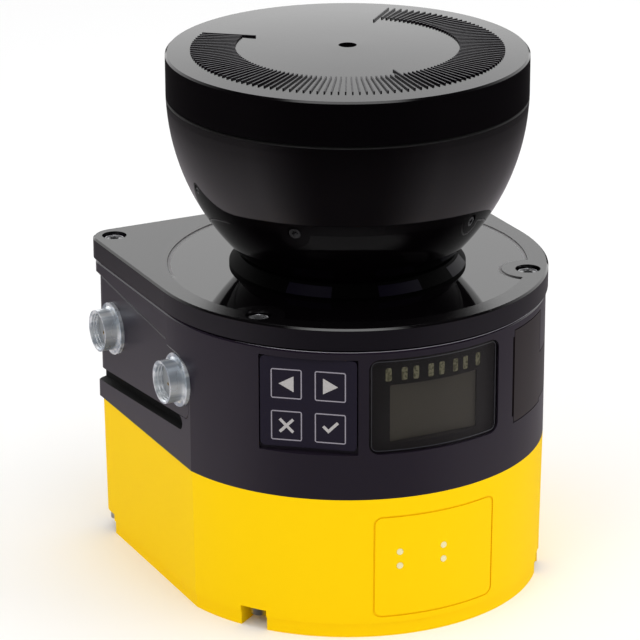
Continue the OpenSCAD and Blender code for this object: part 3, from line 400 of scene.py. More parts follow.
def bead(bm, path, radius, sides=8, taper=0):
    """Adds a thin round bead along an open path, its ends closed; it thins out over the last taper steps."""
    rings = []
    for i, p in enumerate(path):
        size = radius * min(1.0, (i + 1) / (taper + 1), (len(path) - i) / (taper + 1))
        ahead = (path[min(i + 1, len(path) - 1)] - path[max(i - 1, 0)]).normalized()
        side = ahead.cross(UP if abs(ahead.z) < 0.9 else Vector((1, 0, 0))).normalized()
        lift = side.cross(ahead)
        rings.append([bm.verts.new(p + (side * math.cos(t) + lift * math.sin(t)) * size)
                      for t in (2 * math.pi * k / sides for k in range(sides))])
    for a, b in zip(rings, rings[1:]):
        for k in range(sides):
            bm.faces.new((a[k], a[(k + 1) % sides], b[(k + 1) % sides], b[k]))
    bm.faces.new(rings[0])
    bm.faces.new(rings[-1])


# ---- growing pieces from node trees ----


def growth_tree(name, inputs):
    """A geometry tree with a mesh in and out and named inputs; returns the tree, its input and its output node."""
    tree = bpy.data.node_groups.new(name, "GeometryNodeTree")
    tree.interface.new_socket("Geometry", in_out="INPUT", socket_type="NodeSocketGeometry")
    for label, kind, value in inputs:
        s = tree.interface.new_socket(label, in_out="INPUT", socket_type=kind)
        if value is not None:
            s.default_value = value
    tree.interface.new_socket("Material", in_out="INPUT", socket_type="NodeSocketMaterial")
    tree.interface.new_socket("Geometry", in_out="OUTPUT", socket_type="NodeSocketGeometry")
    return tree, node(tree, "NodeGroupInput"), node(tree, "NodeGroupOutput")


def place_on_points(tree, gin, gout, shape, turn, chosen=None):
    """Ends a tree: the shape on each point, instances made real, material set."""
    on_points = node(tree, "GeometryNodeInstanceOnPoints")
    real = node(tree, "GeometryNodeRealizeInstances")
    paint = node(tree, "GeometryNodeSetMaterial")
    link(tree, gin.outputs["Geometry"], on_points.inputs["Points"])
    link(tree, shape, on_points.inputs["Instance"])
    link(tree, turn, on_points.inputs["Rotation"])
    if chosen:
        link(tree, chosen, on_points.inputs["Selection"])
    link(tree, on_points.outputs[0], real.inputs[0])
    link(tree, real.outputs[0], paint.inputs["Geometry"])
    link(tree, gin.outputs["Material"], paint.inputs["Material"])
    link(tree, paint.outputs[0], gout.inputs[0])


def grow(name, tree, spots, values, mat, body):
    """Runs a geometry tree on a mesh of single points and keeps the result as a plain mesh on a body."""
    host_mesh = bpy.data.meshes.new(name)
    host_mesh.from_pydata([tuple(p) for p in spots], [], [])
    obj = shown(name, host_mesh)
    mod = obj.modifiers.new("Growth", "NODES")
    mod.node_group = tree
    for item in tree.interface.items_tree:
        if item.item_type == "SOCKET" and item.in_out == "INPUT":
            if item.name == "Material":
                mod[item.identifier] = mat
            elif item.name in values:
                mod[item.identifier] = values[item.name]
    grown = obj.evaluated_get(bpy.context.evaluated_depsgraph_get())
    mesh = bpy.data.meshes.new_from_object(grown)
    obj.modifiers.clear()
    obj.data = mesh
    mesh.name = name
    if not mesh.polygons:
        raise RuntimeError(f"{name} has no faces")
    if mat.name not in mesh.materials:
        mesh.materials.append(mat)
    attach(obj, body)
    return obj


def thickened(tree, flat, thickness):
    """A flat mesh made a closed plate: the raised copy with its sides, and the flipped flat mesh below."""
    raise_it = node(tree, "GeometryNodeExtrudeMesh", mode="FACES", Individual=False)
    link(tree, flat, raise_it.inputs["Mesh"])
    link(tree, thickness, raise_it.inputs["Offset Scale"])
    under = node(tree, "GeometryNodeFlipFaces")
    link(tree, flat, under.inputs[0])
    both = node(tree, "GeometryNodeJoinGeometry")
    link(tree, under.outputs[0], both.inputs[0])
    link(tree, raise_it.outputs["Mesh"], both.inputs[0])
    weld = node(tree, "GeometryNodeMergeByDistance", Distance=1e-6)
    link(tree, both.outputs[0], weld.inputs["Geometry"])
    return weld.outputs[0]


def key_frame_tree():
    """A thin square line with round corners on each point, standing in the plane of the keypad."""
    tree, gin, gout = growth_tree("Key Frames", [("Side", NUMBER, 0.0088), ("Line", NUMBER, 0.0005),
                                                 ("Corner", NUMBER, 0.0006), ("Thickness", NUMBER, 0.0001),
                                                 ("Turn", "NodeSocketVector", None)])
    outlines = []
    for inner in (0, 1):
        square = node(tree, "GeometryNodeCurvePrimitiveQuadrilateral")
        side = gin.outputs["Side"]
        corner = gin.outputs["Corner"]
        if inner:
            side = maths(tree, "MULTIPLY_ADD", gin.outputs["Line"], -2.0, side)
            corner = product(tree, corner, 0.35)  # the inner outline's corners are tighter
        for k in ("Width", "Height"):
            link(tree, side, square.inputs[k])
        soft = node(tree, "GeometryNodeFilletCurve", mode="POLY", Count=4)
        link(tree, square.outputs[0], soft.inputs["Curve"])
        link(tree, corner, soft.inputs["Radius"])
        outlines.append(soft.outputs[0])
    both = node(tree, "GeometryNodeJoinGeometry")
    for o in outlines:
        link(tree, o, both.inputs[0])
    fill = node(tree, "GeometryNodeFillCurve")
    link(tree, both.outputs[0], fill.inputs["Curve"])
    solid = thickened(tree, fill.outputs[0], gin.outputs["Thickness"])
    place_on_points(tree, gin, gout, solid, gin.outputs["Turn"])
    return tree


def ring_tree():
    """A round ring on each point, turned as asked: screw rims and screw threads."""
    tree, gin, gout = growth_tree("Rings", [("Radius", NUMBER, 0.005), ("Wire", NUMBER, 0.0001),
                                            ("Steps", "NodeSocketInt", 64), ("Turn", "NodeSocketVector", None)])
    ring = node(tree, "GeometryNodeCurvePrimitiveCircle")
    link(tree, gin.outputs["Steps"], ring.inputs["Resolution"])
    link(tree, gin.outputs["Radius"], ring.inputs["Radius"])
    wire = node(tree, "GeometryNodeCurvePrimitiveCircle", Resolution=8)
    link(tree, gin.outputs["Wire"], wire.inputs["Radius"])
    tube = node(tree, "GeometryNodeCurveToMesh")
    link(tree, ring.outputs[0], tube.inputs["Curve"])
    link(tree, wire.outputs[0], tube.inputs["Profile Curve"])
    smooth = node(tree, "GeometryNodeSetShadeSmooth")
    link(tree, tube.outputs[0], smooth.inputs["Geometry"])
    place_on_points(tree, gin, gout, smooth.outputs[0], gin.outputs["Turn"])
    return tree


def small_parts_tree():
    """Small soldered parts on a board: a box on a share of the points, turned by quarter turns."""
    tree, gin, gout = growth_tree("Small Parts", [("Size", "NodeSocketVector", None), ("Seed", "NodeSocketInt", 3),
                                                  ("Share", NUMBER, 0.7)])
    box = node(tree, "GeometryNodeMeshCube")
    link(tree, gin.outputs["Size"], box.inputs["Size"])
    keep = node(tree, "FunctionNodeRandomValue", data_type="BOOLEAN")
    link(tree, gin.outputs["Share"], next(s for s in keep.inputs if s.name == "Probability"))
    link(tree, gin.outputs["Seed"], keep.inputs["Seed"])
    quarter = node(tree, "FunctionNodeRandomValue", data_type="INT")
    low_in, high_in = [s for s in quarter.inputs if s.name in ("Min", "Max") and s.type == "INT"]
    low_in.default_value, high_in.default_value = 0, 1
    link(tree, gin.outputs["Seed"], quarter.inputs["Seed"])
    turn = node(tree, "ShaderNodeCombineXYZ")
    link(tree, maths(tree, "MULTIPLY", next(s for s in quarter.outputs if s.type == "INT"), math.pi / 2),
         turn.inputs["Z"])
    place_on_points(tree, gin, gout, box.outputs["Mesh"], turn.outputs[0],
                    next(s for s in keep.outputs if s.type == "BOOLEAN"))
    return tree


# ---- properties ----


def colour_property(name, description, default):
    return FloatVectorProperty(name=name, description=description, subtype="COLOR", size=3, min=0, max=1,
                               default=default)


def length_property(name, description, default):
    return FloatProperty(name=name, description=description, subtype="DISTANCE", unit="LENGTH", default=default)


class ScannerColours(bpy.types.PropertyGroup):
    yellow: colour_property("Base", "Coat of the base housing", (0.95, 0.61, 0.0))
    black: colour_property("Upper housing", "Satin black of the upper housing", (0.015, 0.0105, 0.019))
    lid: colour_property("Lid", "Black of the lid and the cap", (0.0014, 0.0010, 0.0014))
    hood: colour_property("Hood", "Polished black of the optics hood", (0.0010, 0.0006, 0.0009))
    keypad: colour_property("Keypad", "Film of the keypad", (0.013, 0.0095, 0.022))
    sign: colour_property("Signs", "Print of the signs on the keys", (0.40, 0.38, 0.38))
    sign_line: colour_property("Sign frames", "Print of the frames round the keys", (0.26, 0.24, 0.28))
    nickel: colour_property("Connectors", "Plate of the connector shells", (0.92, 0.95, 0.98))


class ScannerSizes(bpy.types.PropertyGroup):
    sign_line: length_property("Frame line", "Width of the printed frame round a key", 0.00033)
    sign_frame: length_property("Frame size", "Outer side of the printed frame round a key", 0.0085)
    sign_arrow: length_property("Arrow", "Height of the arrows on the keys", 0.0045)
    sign_stroke: length_property("Stroke", "Stroke of the cross and the tick", 0.0008)
    print_rise: length_property("Print", "How far the print stands up", 0.00006)
    edge_bead: length_property("Plug edge", "Radius of the bead on the plug's upper edge", 0.0001)
    window_edge: length_property("Window edge", "Radius of the edge line of the display window", 0.00009)
    screw_rim: length_property("Screw rim", "Radius of the rim round a lid screw's head", 0.0027)
    thread_pitch: length_property("Thread pitch", "Pitch of the thread inside a connector", 0.0009)
    round_steps: IntProperty(name="Round steps", description="Steps round a turned piece", default=72, min=24)


def sizes():
    return bpy.context.scene.scanner_sizes


def colours():
    return bpy.context.scene.scanner_colours


# ---- operators ----


class SCANNER_OT_stage(bpy.types.Operator):
    """Floor, soft lights and the camera"""

    bl_idname = "scanner.stage"
    bl_label = "Stage"

    turn = math.radians(-26.839)  # of the camera about the scan axis
    # what polished faces mirror; each fade runs from one measure to another, and from one tone to another
    table_fade = (0.15, 0.45, 0.50, 0.03)
    table_front = (-0.97, -0.45, 0.10, 1.0)
    table_right = (0.3, 0.8, 1.0, 0.7)
    table_tint = (1.0, 0.93, 0.98)
    wall_fade = (0.15, 0.75, 0.03, 1.5)
    lamp_height = (0.885, 0.935, 0.0, 3.5)
    lamp_front = (-0.15, 0.08, 1.0, 0.0)
    room, backdrop = 0.85, 1.0  # light of the room on dull faces, and of the backdrop that is seen
    # name, place, height aimed at, side in metres, watts, whether polished faces mirror it
    lights = (("key_light", (-0.9, -0.5, 0.8), 0.08, 0.5, 1.8, True),
              ("fill_light", (0.9, -0.6, 0.6), 0.06, 0.7, 2.2, True),
              ("top_light", (0.1, -0.2, 1.3), 0.08, 0.8, 4.0, False))

    def across(self, tree, place, along_x, along_y):
        """Distance of a place along a level direction."""
        return maths(tree, "MULTIPLY_ADD", place[0], along_x, maths(tree, "MULTIPLY", place[1], along_y))

    def floor(self):
        """A pale floor, which polished faces see as a pale table round the scanner in a dark room."""
        edge = 6.0
        mesh = bpy.data.meshes.new("floor")
        mesh.from_pydata([(-edge, -edge, 0), (edge, -edge, 0), (edge, edge, 0), (-edge, edge, 0)], [],
                         [(0, 1, 2, 3)])
        floor = shown("floor", mesh)
        mat = bpy.data.materials.new("pale floor")
        mat.use_nodes = True
        tree = mat.node_tree
        shader = tree.nodes["Principled BSDF"]
        shader.inputs["Roughness"].default_value = 0.9
        shader.inputs["Specular IOR Level"].default_value = 0.0
        place = place_of(tree)
        far = maths(tree, "MAXIMUM", radius_of(tree, place), MM)
        ahead = maths(tree, "DIVIDE", self.across(tree, place, -math.sin(self.turn), math.cos(self.turn)), far)
        side = maths(tree, "DIVIDE", self.across(tree, place, math.cos(self.turn), math.sin(self.turn)), far)
        table = product(tree, remap(tree, far, *self.table_fade, "LINEAR"),
                        remap(tree, ahead, *self.table_front), remap(tree, side, *self.table_right))
        tone = node(tree, "ShaderNodeVectorMath", operation="SCALE")
        tone.inputs[0].default_value = self.table_tint
        link(tree, table, tone.inputs["Scale"])
        seen = node(tree, "ShaderNodeLightPath").outputs["Is Glossy Ray"]
        link(tree, mixed(tree, seen, (0.95, 0.95, 0.95), tone.outputs[0]), shader.inputs["Base Color"])
        mesh.materials.append(mat)

    def world(self, scene):
        """A dark room for polished faces, with a bright wall behind and a lamp overhead; plain light for the rest."""
        world = bpy.data.worlds.new("studio")
        world.use_nodes = True
        tree = world.node_tree
        back = tree.nodes["Background"]
        way = node(tree, "ShaderNodeTexCoord").outputs["Generated"]
        behind = node(tree, "ShaderNodeVectorMath", operation="DOT_PRODUCT")
        link(tree, way, behind.inputs[0])
        behind.inputs[1].default_value = (-math.sin(self.turn), math.cos(self.turn), 0)
        wall = remap(tree, behind.outputs["Value"], *self.wall_fade)
        split = node(tree, "ShaderNodeSeparateXYZ")
        link(tree, way, split.inputs[0])
        lamp = product(tree, remap(tree, split.outputs[2], *self.lamp_height),
                       remap(tree, behind.outputs["Value"], *self.lamp_front))
        mirrored = maths(tree, "ADD", wall, lamp)
        path = node(tree, "ShaderNodeLightPath")
        glossy = product(tree, path.outputs["Is Glossy Ray"], maths(tree, "SUBTRACT", mirrored, self.room))
        seen = product(tree, path.outputs["Is Camera Ray"], self.backdrop - self.room)
        link(tree, maths(tree, "ADD", maths(tree, "ADD", self.room, glossy), seen), back.inputs["Strength"])
        back.inputs["Color"].default_value = (1, 1, 1, 1)
        scene.world = world

    def soft_light(self, name, place, aim_height, side, power, mirrored):
        """A square soft light, turned to a point of the scan axis."""
        data = bpy.data.lights.new(name, "AREA")
        data.shape = "SQUARE"
        data.size = side
        data.energy = power
        obj = shown(name, data)
        obj.location = place
        aim = Vector((0, 0, aim_height)) - Vector(place)
        obj.rotation_euler = aim.to_track_quat("-Z", "Y").to_euler()
        obj.visible_glossy = mirrored

    def swung(self, a, b, angle):
        """Two square directions, the first turned towards the second."""
        return a * math.cos(angle) + b * math.sin(angle), b * math.cos(angle) - a * math.sin(angle)

    def camera(self, scene):
        """The camera: turned about the scan axis, then tilted down, with a small yaw and roll."""
        turn, pitch, yaw, roll = self.turn, *(math.radians(v) for v in (-20.236, -0.484, -0.131))
        away, rise, focal, frame_side = 0.910625, 0.408004, 3456.52, 640.0
        ahead = Vector((-math.sin(turn), math.cos(turn), 0))
        right = Vector((math.cos(turn), math.sin(turn), 0))
        up = UP.copy()
        ahead, right = self.swung(ahead, right, yaw)
        ahead, up = self.swung(ahead, up, pitch)
        right, up = self.swung(right, up, roll)
        data = bpy.data.cameras.new("camera")
        data.sensor_width = 36.0
        data.lens = focal * data.sensor_width / frame_side
        cam = shown("camera", data)
        place = Vector((away * math.sin(turn), -away * math.cos(turn), rise))
        cam.matrix_world = Matrix.Translation(place) @ Matrix((right, up, -ahead)).transposed().to_4x4()
        scene.camera = cam

    def execute(self, context):
        scene = context.scene
        self.floor()
        self.world(scene)
        for light in self.lights:
            self.soft_light(*light)
        scene.view_settings.view_transform = "Standard"
        self.camera(scene)
        return {"FINISHED"}


class SCANNER_OT_shell_finishes(bpy.types.Operator):
    """Finishes of the housings, lid, hood and cap"""

    bl_idname = "scanner.shell_finishes"
    bl_label = "Shell finishes"

    def slot_shade_mask(self, tree, at):
        """1 inside the long slot of the flank, which runs down to the rear; the slot's shade is painted there."""
        slope, depth, half, front, rear = math.tan(math.radians(4.9)), 3.5 * MM, 2.2 * MM, -7 * MM, 56 * MM
        middle = maths(tree, "MULTIPLY_ADD", at[1], slope, at[2])
        return product(tree, within(tree, at[0], PLUG_X + SLIP, PLUG_X + depth),
                       within(tree, at[1], front, rear), within(tree, middle, SLOT_Z - half, SLOT_Z + half))

    def step_light_mask(self, tree, at):
        """1 on the step round the lid's sunk ring and on a band at its foot, fading out to the front; there light
        grey is painted over the step's shade and its dark mirror image in the ring.
        """
        ring = LID_TOP - RING_DROP
        band, hole = RING_DROP / math.tan(math.radians(20)), 4 * MM
        front_fade, rearwards = (-16 * MM, -8 * MM, 0.0, 1.0), (0.45, 0.89)
        screw = screw_places("lid_screws")[2]
        land = min((p - screw).xy.length for p in points_of("lid_plate") if abs(p.z - ring) < SLIP)
        radius = radius_of(tree, at)
        away = radius_of(tree, (maths(tree, "SUBTRACT", at[0], screw.x), maths(tree, "SUBTRACT", at[1], screw.y)))
        foot = maths(tree, "MAXIMUM", within(tree, radius, RING_R - band), within(tree, away, top=land + band))
        step = maths(tree, "MAXIMUM", foot, within(tree, at[2], ring + SLIP))
        level = within(tree, at[2], ring - SLIP, LID_TOP - SLIP)
        ahead = maths(tree, "MULTIPLY_ADD", at[0], rearwards[0], product(tree, at[1], rearwards[1]))
        return product(tree, remap(tree, ahead, *front_fade), within(tree, away, hole), level,
                       within(tree, radius, top=RING_R + MM), step)

    def mark_mask(self, tree, at):
        """1 on the tops of the cap's raised marks, which follow its dome."""
        level = high("head_cap").z - MARK_UP + MARK_IN_R ** 2 / (2 * DOME_R) + MARK_UP / 3
        drop = maths(tree, "POWER", radius_of(tree, at), 2.0)
        return within(tree, maths(tree, "MULTIPLY_ADD", drop, 0.5 / DOME_R, at[2]), level)

    def execute(self, context):
        c = colours()
        yellow = finish("yellow coat", c.yellow, 0.55, grain=1500, depth=0.5, bump=0.000012, tone_change=0.03,
                        Specular_IOR_Level=0.06)
        dress(yellow, "base_housing")
        dress(finish("satin black", c.black, 0.34, **SATIN), "system_plug")
        dress(finish("cover rubber", (0.017, 0.011, 0.012), 0.42, **SATIN), "usb_cover")

        # the upper housing's top edge is made smoother and shinier by rubbing; its long slot is made dull and painted
        # near black as painted shade, as if the slot were deep
        body = finish("satin black body", c.black, 0.34, **SATIN)
        seam = high("upper_housing").z - 0.5 * MM
        zone(body, lambda tree, at: within(tree, at[2], seam), -0.22)
        zone(body, self.slot_shade_mask, 0.5, (0.0012, 0.001, 0.0012))
        dress(body, "upper_housing")

        # the sunk ring of the lid is polished and the rim round it is a little rougher; the step between and a band
        # at its foot are made dull and painted light grey, painted light over the step's shade and its dark mirror
        # image
        lid = finish("lid black", c.lid, 0.05, grain=2600, depth=0.25, bump=0.000004, rough_change=0.02)
        zone(lid, lambda tree, at: within(tree, at[2], LID_TOP - SLIP), 0.22)
        zone(lid, self.step_light_mask, 0.7, (0.34, 0.335, 0.34))
        zone(lid, lambda tree, at: product(tree, within(tree, at[2], top=LID_TOP - 0.6 * MM),
                                           within(tree, radius_of(tree, at), 54 * MM)), 0.3, (0.006, 0.004, 0.008))
        dress(lid, "lid_plate")

        # the raised marks of the cap stand in a dull black
        cap = finish("cap black", c.lid, 0.12, grain=2600, depth=0.25, bump=0.000005, rough_change=0.02,
                     Specular_IOR_Level=0.36)
        zone(cap, self.mark_mask, 0.28, (0.005, 0.003, 0.007))
        dress(cap, "head_cap")
        hood = finish("hood gloss", c.hood, 0.05, tone_change=0.02, **CLEAR)
        zone(hood, lambda tree, at: within(tree, at[2], HOOD_TOP - 0.5 * MM), 0.55)
        dress(hood, "optics_hood")
        dress(finish("collar black", (0.0004, 0.0004, 0.0004), 0.6, depth=0.2, bump=0.000004,
                     Specular_IOR_Level=0.03), "light_collar")
        dress(finish("violet filter", (0.002, 0.001, 0.006), 0.45, depth=0.05, Specular_IOR_Level=0.1),
              "collar_windows")
        rubber = finish("seal rubber", (0.004, 0.004, 0.004), 0.7, grain=2200, depth=0.6)
        dress(rubber, "base_gasket", "lid_gasket", "plug_seal", "cap_seal")
        return {"FINISHED"}


class SCANNER_OT_front_finishes(bpy.types.Operator):
    """Finishes of the keypad, display, lights, connectors and screws"""

    bl_idname = "scanner.front_finishes"
    bl_label = "Front finishes"

    def execute(self, context):
        c = colours()
        film = finish("keypad film", c.keypad, 0.42, grain=3200, depth=0.6, bump=0.00001, Specular_IOR_Level=0.3)
        dress(film, "keypad_panel", *KEYS)
        dress(finish("mask grey", (0.085, 0.080, 0.076), 0.4), "display_mask")
        dress(finish("smoke window", (0.004, 0.003, 0.004), 0.06, tone_change=0.0, Alpha=0.42, **CLEAR),
              "display_window")

        lcd = finish("display face", (0.34, 0.31, 0.25), 0.35, depth=0.1)
        tree, shader, _, _ = parts_of(lcd)
        toned(tree, shader, effect(tree, dots_group).outputs["Lines"], (0.26, 0.24, 0.19))
        dress(lcd, "lcd_panel")
        # the lamps' chips and leads show through the status guides as uneven dark patches
        status = finish("status guide", (0.90, 0.86, 0.55), 0.3, grain=700)
        tree, shader, _, _ = parts_of(status)
        chips = node(tree, "ShaderNodeTexNoise", Scale=1400.0, Detail=1.0)
        link(tree, coords_of(tree), chips.inputs["Vector"])
        toned(tree, shader, remap(tree, chips.outputs["Fac"], 0.42, 0.66, 0.0, 1.0), (0.40, 0.38, 0.22))
        dress(status, "status_light_guides")
        dress(finish("milky guide", (0.84, 0.76, 0.42), 0.4, grain=1200, tone_change=0.2), "base_light_guides")

        nickel = finish("nickel plate", c.nickel, 0.27, grain=500, depth=0.2, bump=0.00001, tone_change=0.25,
                        rough_change=0.2, Metallic=0.65)
        # painted reflection: light and dark streaks along the barrels
        tree, shader, _, _ = parts_of(nickel)
        streak_stretch = node(tree, "ShaderNodeVectorMath", operation="MULTIPLY")
        link(tree, coords_of(tree), streak_stretch.inputs[0])
        streak_stretch.inputs[1].default_value = (0.06, 1.0, 1.0)
        reflection_streaks = node(tree, "ShaderNodeTexNoise", Scale=300.0, Detail=2.0)
        link(tree, streak_stretch.outputs[0], reflection_streaks.inputs["Vector"])
        toned(tree, shader, remap(tree, reflection_streaks.outputs["Fac"], 0.40, 0.62, 0.0, 1.0), (0.44, 0.49, 0.55))
        dress(turned(nickel, 0, scale=9000.0), "connector_shell_front", "connector_shell_rear")
        dress(finish("insert grey", (0.26, 0.27, 0.28), 0.4), "connector_insert_front", "connector_insert_rear")
        dress(finish("contact gold", (0.80, 0.52, 0.16), 0.22, Metallic=1.0), "connector_contacts")
        dark = finish("dark steel", (0.30, 0.30, 0.31), 0.24, grain=1800, Metallic=0.7)
        dress(turned(dark, 2, scale=5000.0), "lid_screws")
        bright = finish("plated steel", (0.55, 0.55, 0.53), 0.3, grain=1800, Metallic=1.0)
        dress(turned(bright, 2, scale=5000.0), "base_screws", "frame_screws", "usb_hinge_pin", "usb_socket")
        return {"FINISHED"}


class SCANNER_OT_inner_finishes(bpy.types.Operator):
    """Finishes of the boards, motor, mirror and receiver inside"""

    bl_idname = "scanner.inner_finishes"
    bl_label = "Inner finishes"

    def execute(self, context):
        board = finish("circuit board", (0.012, 0.11, 0.035), 0.3, grain=700, depth=0.2)
        tree, shader, g, b = parts_of(board)
        tracks = effect(tree, tracks_group)
        toned(tree, shader, tracks.outputs["Tracks"], (0.02, 0.20, 0.06))
        toned(tree, shader, tracks.outputs["Pads"], (0.72, 0.55, 0.25))
        link(tree, tracks.outputs["Pads"], shader.inputs["Metallic"])
        link(tree, maths(tree, "ADD", g.outputs["Height"], tracks.outputs["Tracks"]), b.inputs["Height"])
        dress(board, "interface_board", "keypad_board", "display_board", "usb_board", "main_board",
              "receiver_board")
        dress(finish("black moulding", (0.012, 0.012, 0.013), 0.45, grain=1400, depth=0.5), "board_link",
              "encoder_sensor", "receiver_holder")
        dress(finish("dark casting", (0.05, 0.05, 0.055), 0.5, grain=800, depth=0.8, bump=0.00004, Metallic=1.0),
              "optics_frame", "mirror_carrier")
        steel = finish("motor steel", (0.45, 0.45, 0.46), 0.3, grain=1200, Metallic=1.0)
        dress(turned(steel, 2, scale=3500.0), "motor_stator", "motor_bearings", "motor_shaft")
        dress(finish("magnet", (0.03, 0.031, 0.034), 0.4, grain=600, depth=0.6), "rotor_magnet")
        disc = finish("encoder disc", (0.30, 0.31, 0.33), 0.25, Metallic=1.0)
        dress(turned(disc, "r", scale=5000.0), "encoder_disc")
        dress(finish("mirror coat", (0.85, 0.85, 0.88), 0.03, tone_change=0.02, Metallic=1.0, **CLEAR), "scan_mirror")
        dress(finish("filter glass", (0.12, 0.006, 0.008), 0.05, Alpha=0.7, **CLEAR), "receiver_lens")
        brass = finish("laser brass", (0.70, 0.50, 0.20), 0.25, Metallic=1.0)
        dress(turned(brass, 2, scale=5000.0), "laser_module")
        return {"FINISHED"}


class SCANNER_OT_key_signs(bpy.types.Operator):
    """Printed frames round the keys, and the arrows, cross and tick on them"""

    bl_idname = "scanner.key_signs"
    bl_label = "Key signs"

    def execute(self, context):
        s = sizes()
        ink, line_ink = (finish(name, tone, 0.55, grain=2500, Specular_IOR_Level=0.2)
                         for name, tone in (("sign print", colours().sign), ("line print", colours().sign_line)))
        panel_out = max(p.dot(FACE_OUT) for p in points_of("keypad_panel"))
        spots = []
        for k in KEYS:
            p = face_place(k)
            spots.append(p + FACE_OUT * (panel_out - p.dot(FACE_OUT)))
        turn = Matrix((FACE_RIGHT, UP, FACE_OUT)).transposed().to_euler()
        grow("key_frames", key_frame_tree(), spots,
             {"Side": s.sign_frame, "Line": s.sign_line, "Corner": 0.6 * MM, "Thickness": s.print_rise,
              "Turn": tuple(turn)}, line_ink, ROOT)

        # a cross of two strokes, leant over
        w, arm, lean = s.sign_stroke / 2, 2.6 * MM, math.radians(45)
        cross = [(-arm, -w), (-w, -w), (-w, -arm), (w, -arm), (w, -w), (arm, -w),
                 (arm, w), (w, w), (w, arm), (-w, arm), (-w, w), (-arm, w)]
        cross = [(u * math.cos(lean) - v * math.sin(lean), u * math.sin(lean) + v * math.cos(lean))
                 for u, v in cross]
        # a tick from its foot: the long stroke up to the right, the short one to the left
        x, y, d = -0.55 * MM, -1.4 * MM, s.sign_stroke / math.sqrt(2)
        long, short = 2.9 * MM, 1.1 * MM
        tick = [(x, y), (x + long, y + long), (x + long - d, y + long + d), (x, y + 2 * d),
                (x - short, y + 2 * d + short), (x - short - d, y + d + short)]
        half, base, tip = s.sign_arrow / 2, 2.0 * MM, 2.1 * MM
        signs = {"key_back": [(base, -half), (base, half), (-tip, 0)],
                 "key_next": [(-base, half), (-base, -half), (tip, 0)],
                 "key_cancel": cross, "key_confirm": tick}
        for k, outline in signs.items():
            bm = bmesh.new()
            plate(bm, outline, face_place(k), FACE_RIGHT, UP, FACE_OUT, 0.05 * MM, s.print_rise)
            piece_from(bm, k + "_sign", ink, k + "_body")
        return {"FINISHED"}


class SCANNER_OT_plug_edge(bpy.types.Operator):
    """Fine light bead along the upper edge of the system plug: a painted highlight on that edge"""

    bl_idname = "scanner.plug_edge"
    bl_label = "Plug edge"

    def execute(self, context):
        rim = {(round(p.y, 6), round(p.z, 6)) for p in points_of("system_plug") if abs(p.x - PLUG_X) < SLIP / 3}
        rear = max(rim, key=lambda q: q[0] + q[1])
        front = max((q for q in rim if q[0] < 0), key=lambda q: q[1])
        start = 1.0 * MM
        meet = (start, front[1] + (rear[1] - front[1]) * (start - front[0]) / (rear[0] - front[0]))
        # in front, the edge of the housing's recess takes the line on to the connector
        lip = sorted((p for p in points_of("upper_housing") if p.x < PLUG_X - 0.5 * MM
                      and -7.5 * MM < p.y < 0.5 * MM and 72.5 * MM < p.z < 74.6 * MM), key=lambda p: p.y)
        chain = lip[:1]
        for p in lip:
            if (p - chain[-1]).length > 0.4 * MM:
                chain.append(p)
        if len(chain) < 3:
            raise RuntimeError("the plug's upper edge wasn't found")
        paths = ([Vector((PLUG_X, *q)) for q in (meet, rear)], chain)
        bm = bmesh.new()
        for path in paths:
            bead(bm, path, sizes().edge_bead)
        # painted highlight: a light grey bead where the plug's upper edge catches the light
        plug_highlight = finish("plug edge highlight", (0.16, 0.16, 0.165), 0.35, grain=900, depth=0.4, tone_change=0.5)
        piece_from(bm, "plug_edge", plug_highlight, ROOT)
        return {"FINISHED"}


class SCANNER_OT_light_edges(bpy.types.Operator):
    """Painted highlight lines: a fine light bead under the lid and one on the moulded edge of the display window"""

    bl_idname = "scanner.light_edges"
    bl_label = "Light edges"

    def execute(self, context):
        s = sizes()
        seam = high("upper_housing")
        edge_r = seam.x - 0.4 * MM
        steps = s.round_steps * 2
        # painted highlight: a light bead along the housing's top edge under the lid, over the front arc where the
        # edge catches the light, brighter and darker along its length
        lit_from, lit_to = math.radians(30), math.radians(165)
        turns = [lit_from + (lit_to - lit_from) * k / steps for k in range(steps + 1)]
        arc = [Vector((-edge_r * math.cos(t), -edge_r * math.sin(t), seam.z)) for t in turns]
        bm = bmesh.new()
        bead(bm, arc, s.edge_bead, sides=6, taper=16)
        rim_highlight = finish("housing rim highlight", (0.27, 0.26, 0.29), 0.3, grain=60, depth=0.4, tone_change=1.9)
        piece_from(bm, "housing_edge", rim_highlight, ROOT)

        # the outline runs round the window's curved face, its corners rounded
        face_r = -low("display_window").y
        inset, corner, step, turn_step = 0.7 * MM, 1.6 * MM, 2.0 * MM, 15
        half = high("display_window").x - inset
        bottom, top = low("display_window").z + inset, high("display_window").z - inset
        outline = []
        for cx, cz, start in ((half - corner, top - corner, 0), (corner - half, top - corner, 90),
                              (corner - half, bottom + corner, 180), (half - corner, bottom + corner, 270)):
            turns = [math.radians(start + t) for t in range(0, 91, turn_step)]
            outline += [(cx + corner * math.cos(t), cz + corner * math.sin(t)) for t in turns]
        outline.append(outline[0])
        path = []
        for (x0, z0), (x1, z1) in zip(outline, outline[1:]):
            parts = max(1, round(abs(x1 - x0) / step))
            path += [(x0 + (x1 - x0) * k / parts, z0 + (z1 - z0) * k / parts) for k in range(parts)]
        path.append(outline[-1])
        bm = bmesh.new()
        bead(bm, [Vector((x, -math.sqrt(face_r ** 2 - x * x), z)) for x, z in path], s.window_edge, sides=6)
        # painted highlight: a lighter bead on the window's moulded edge, where it catches the light
        edge = finish("display window highlight", (0.05, 0.05, 0.06), 0.3, grain=60, depth=0.4, tone_change=1.2)
        piece_from(bm, "window_edge", edge, ROOT)
        return {"FINISHED"}


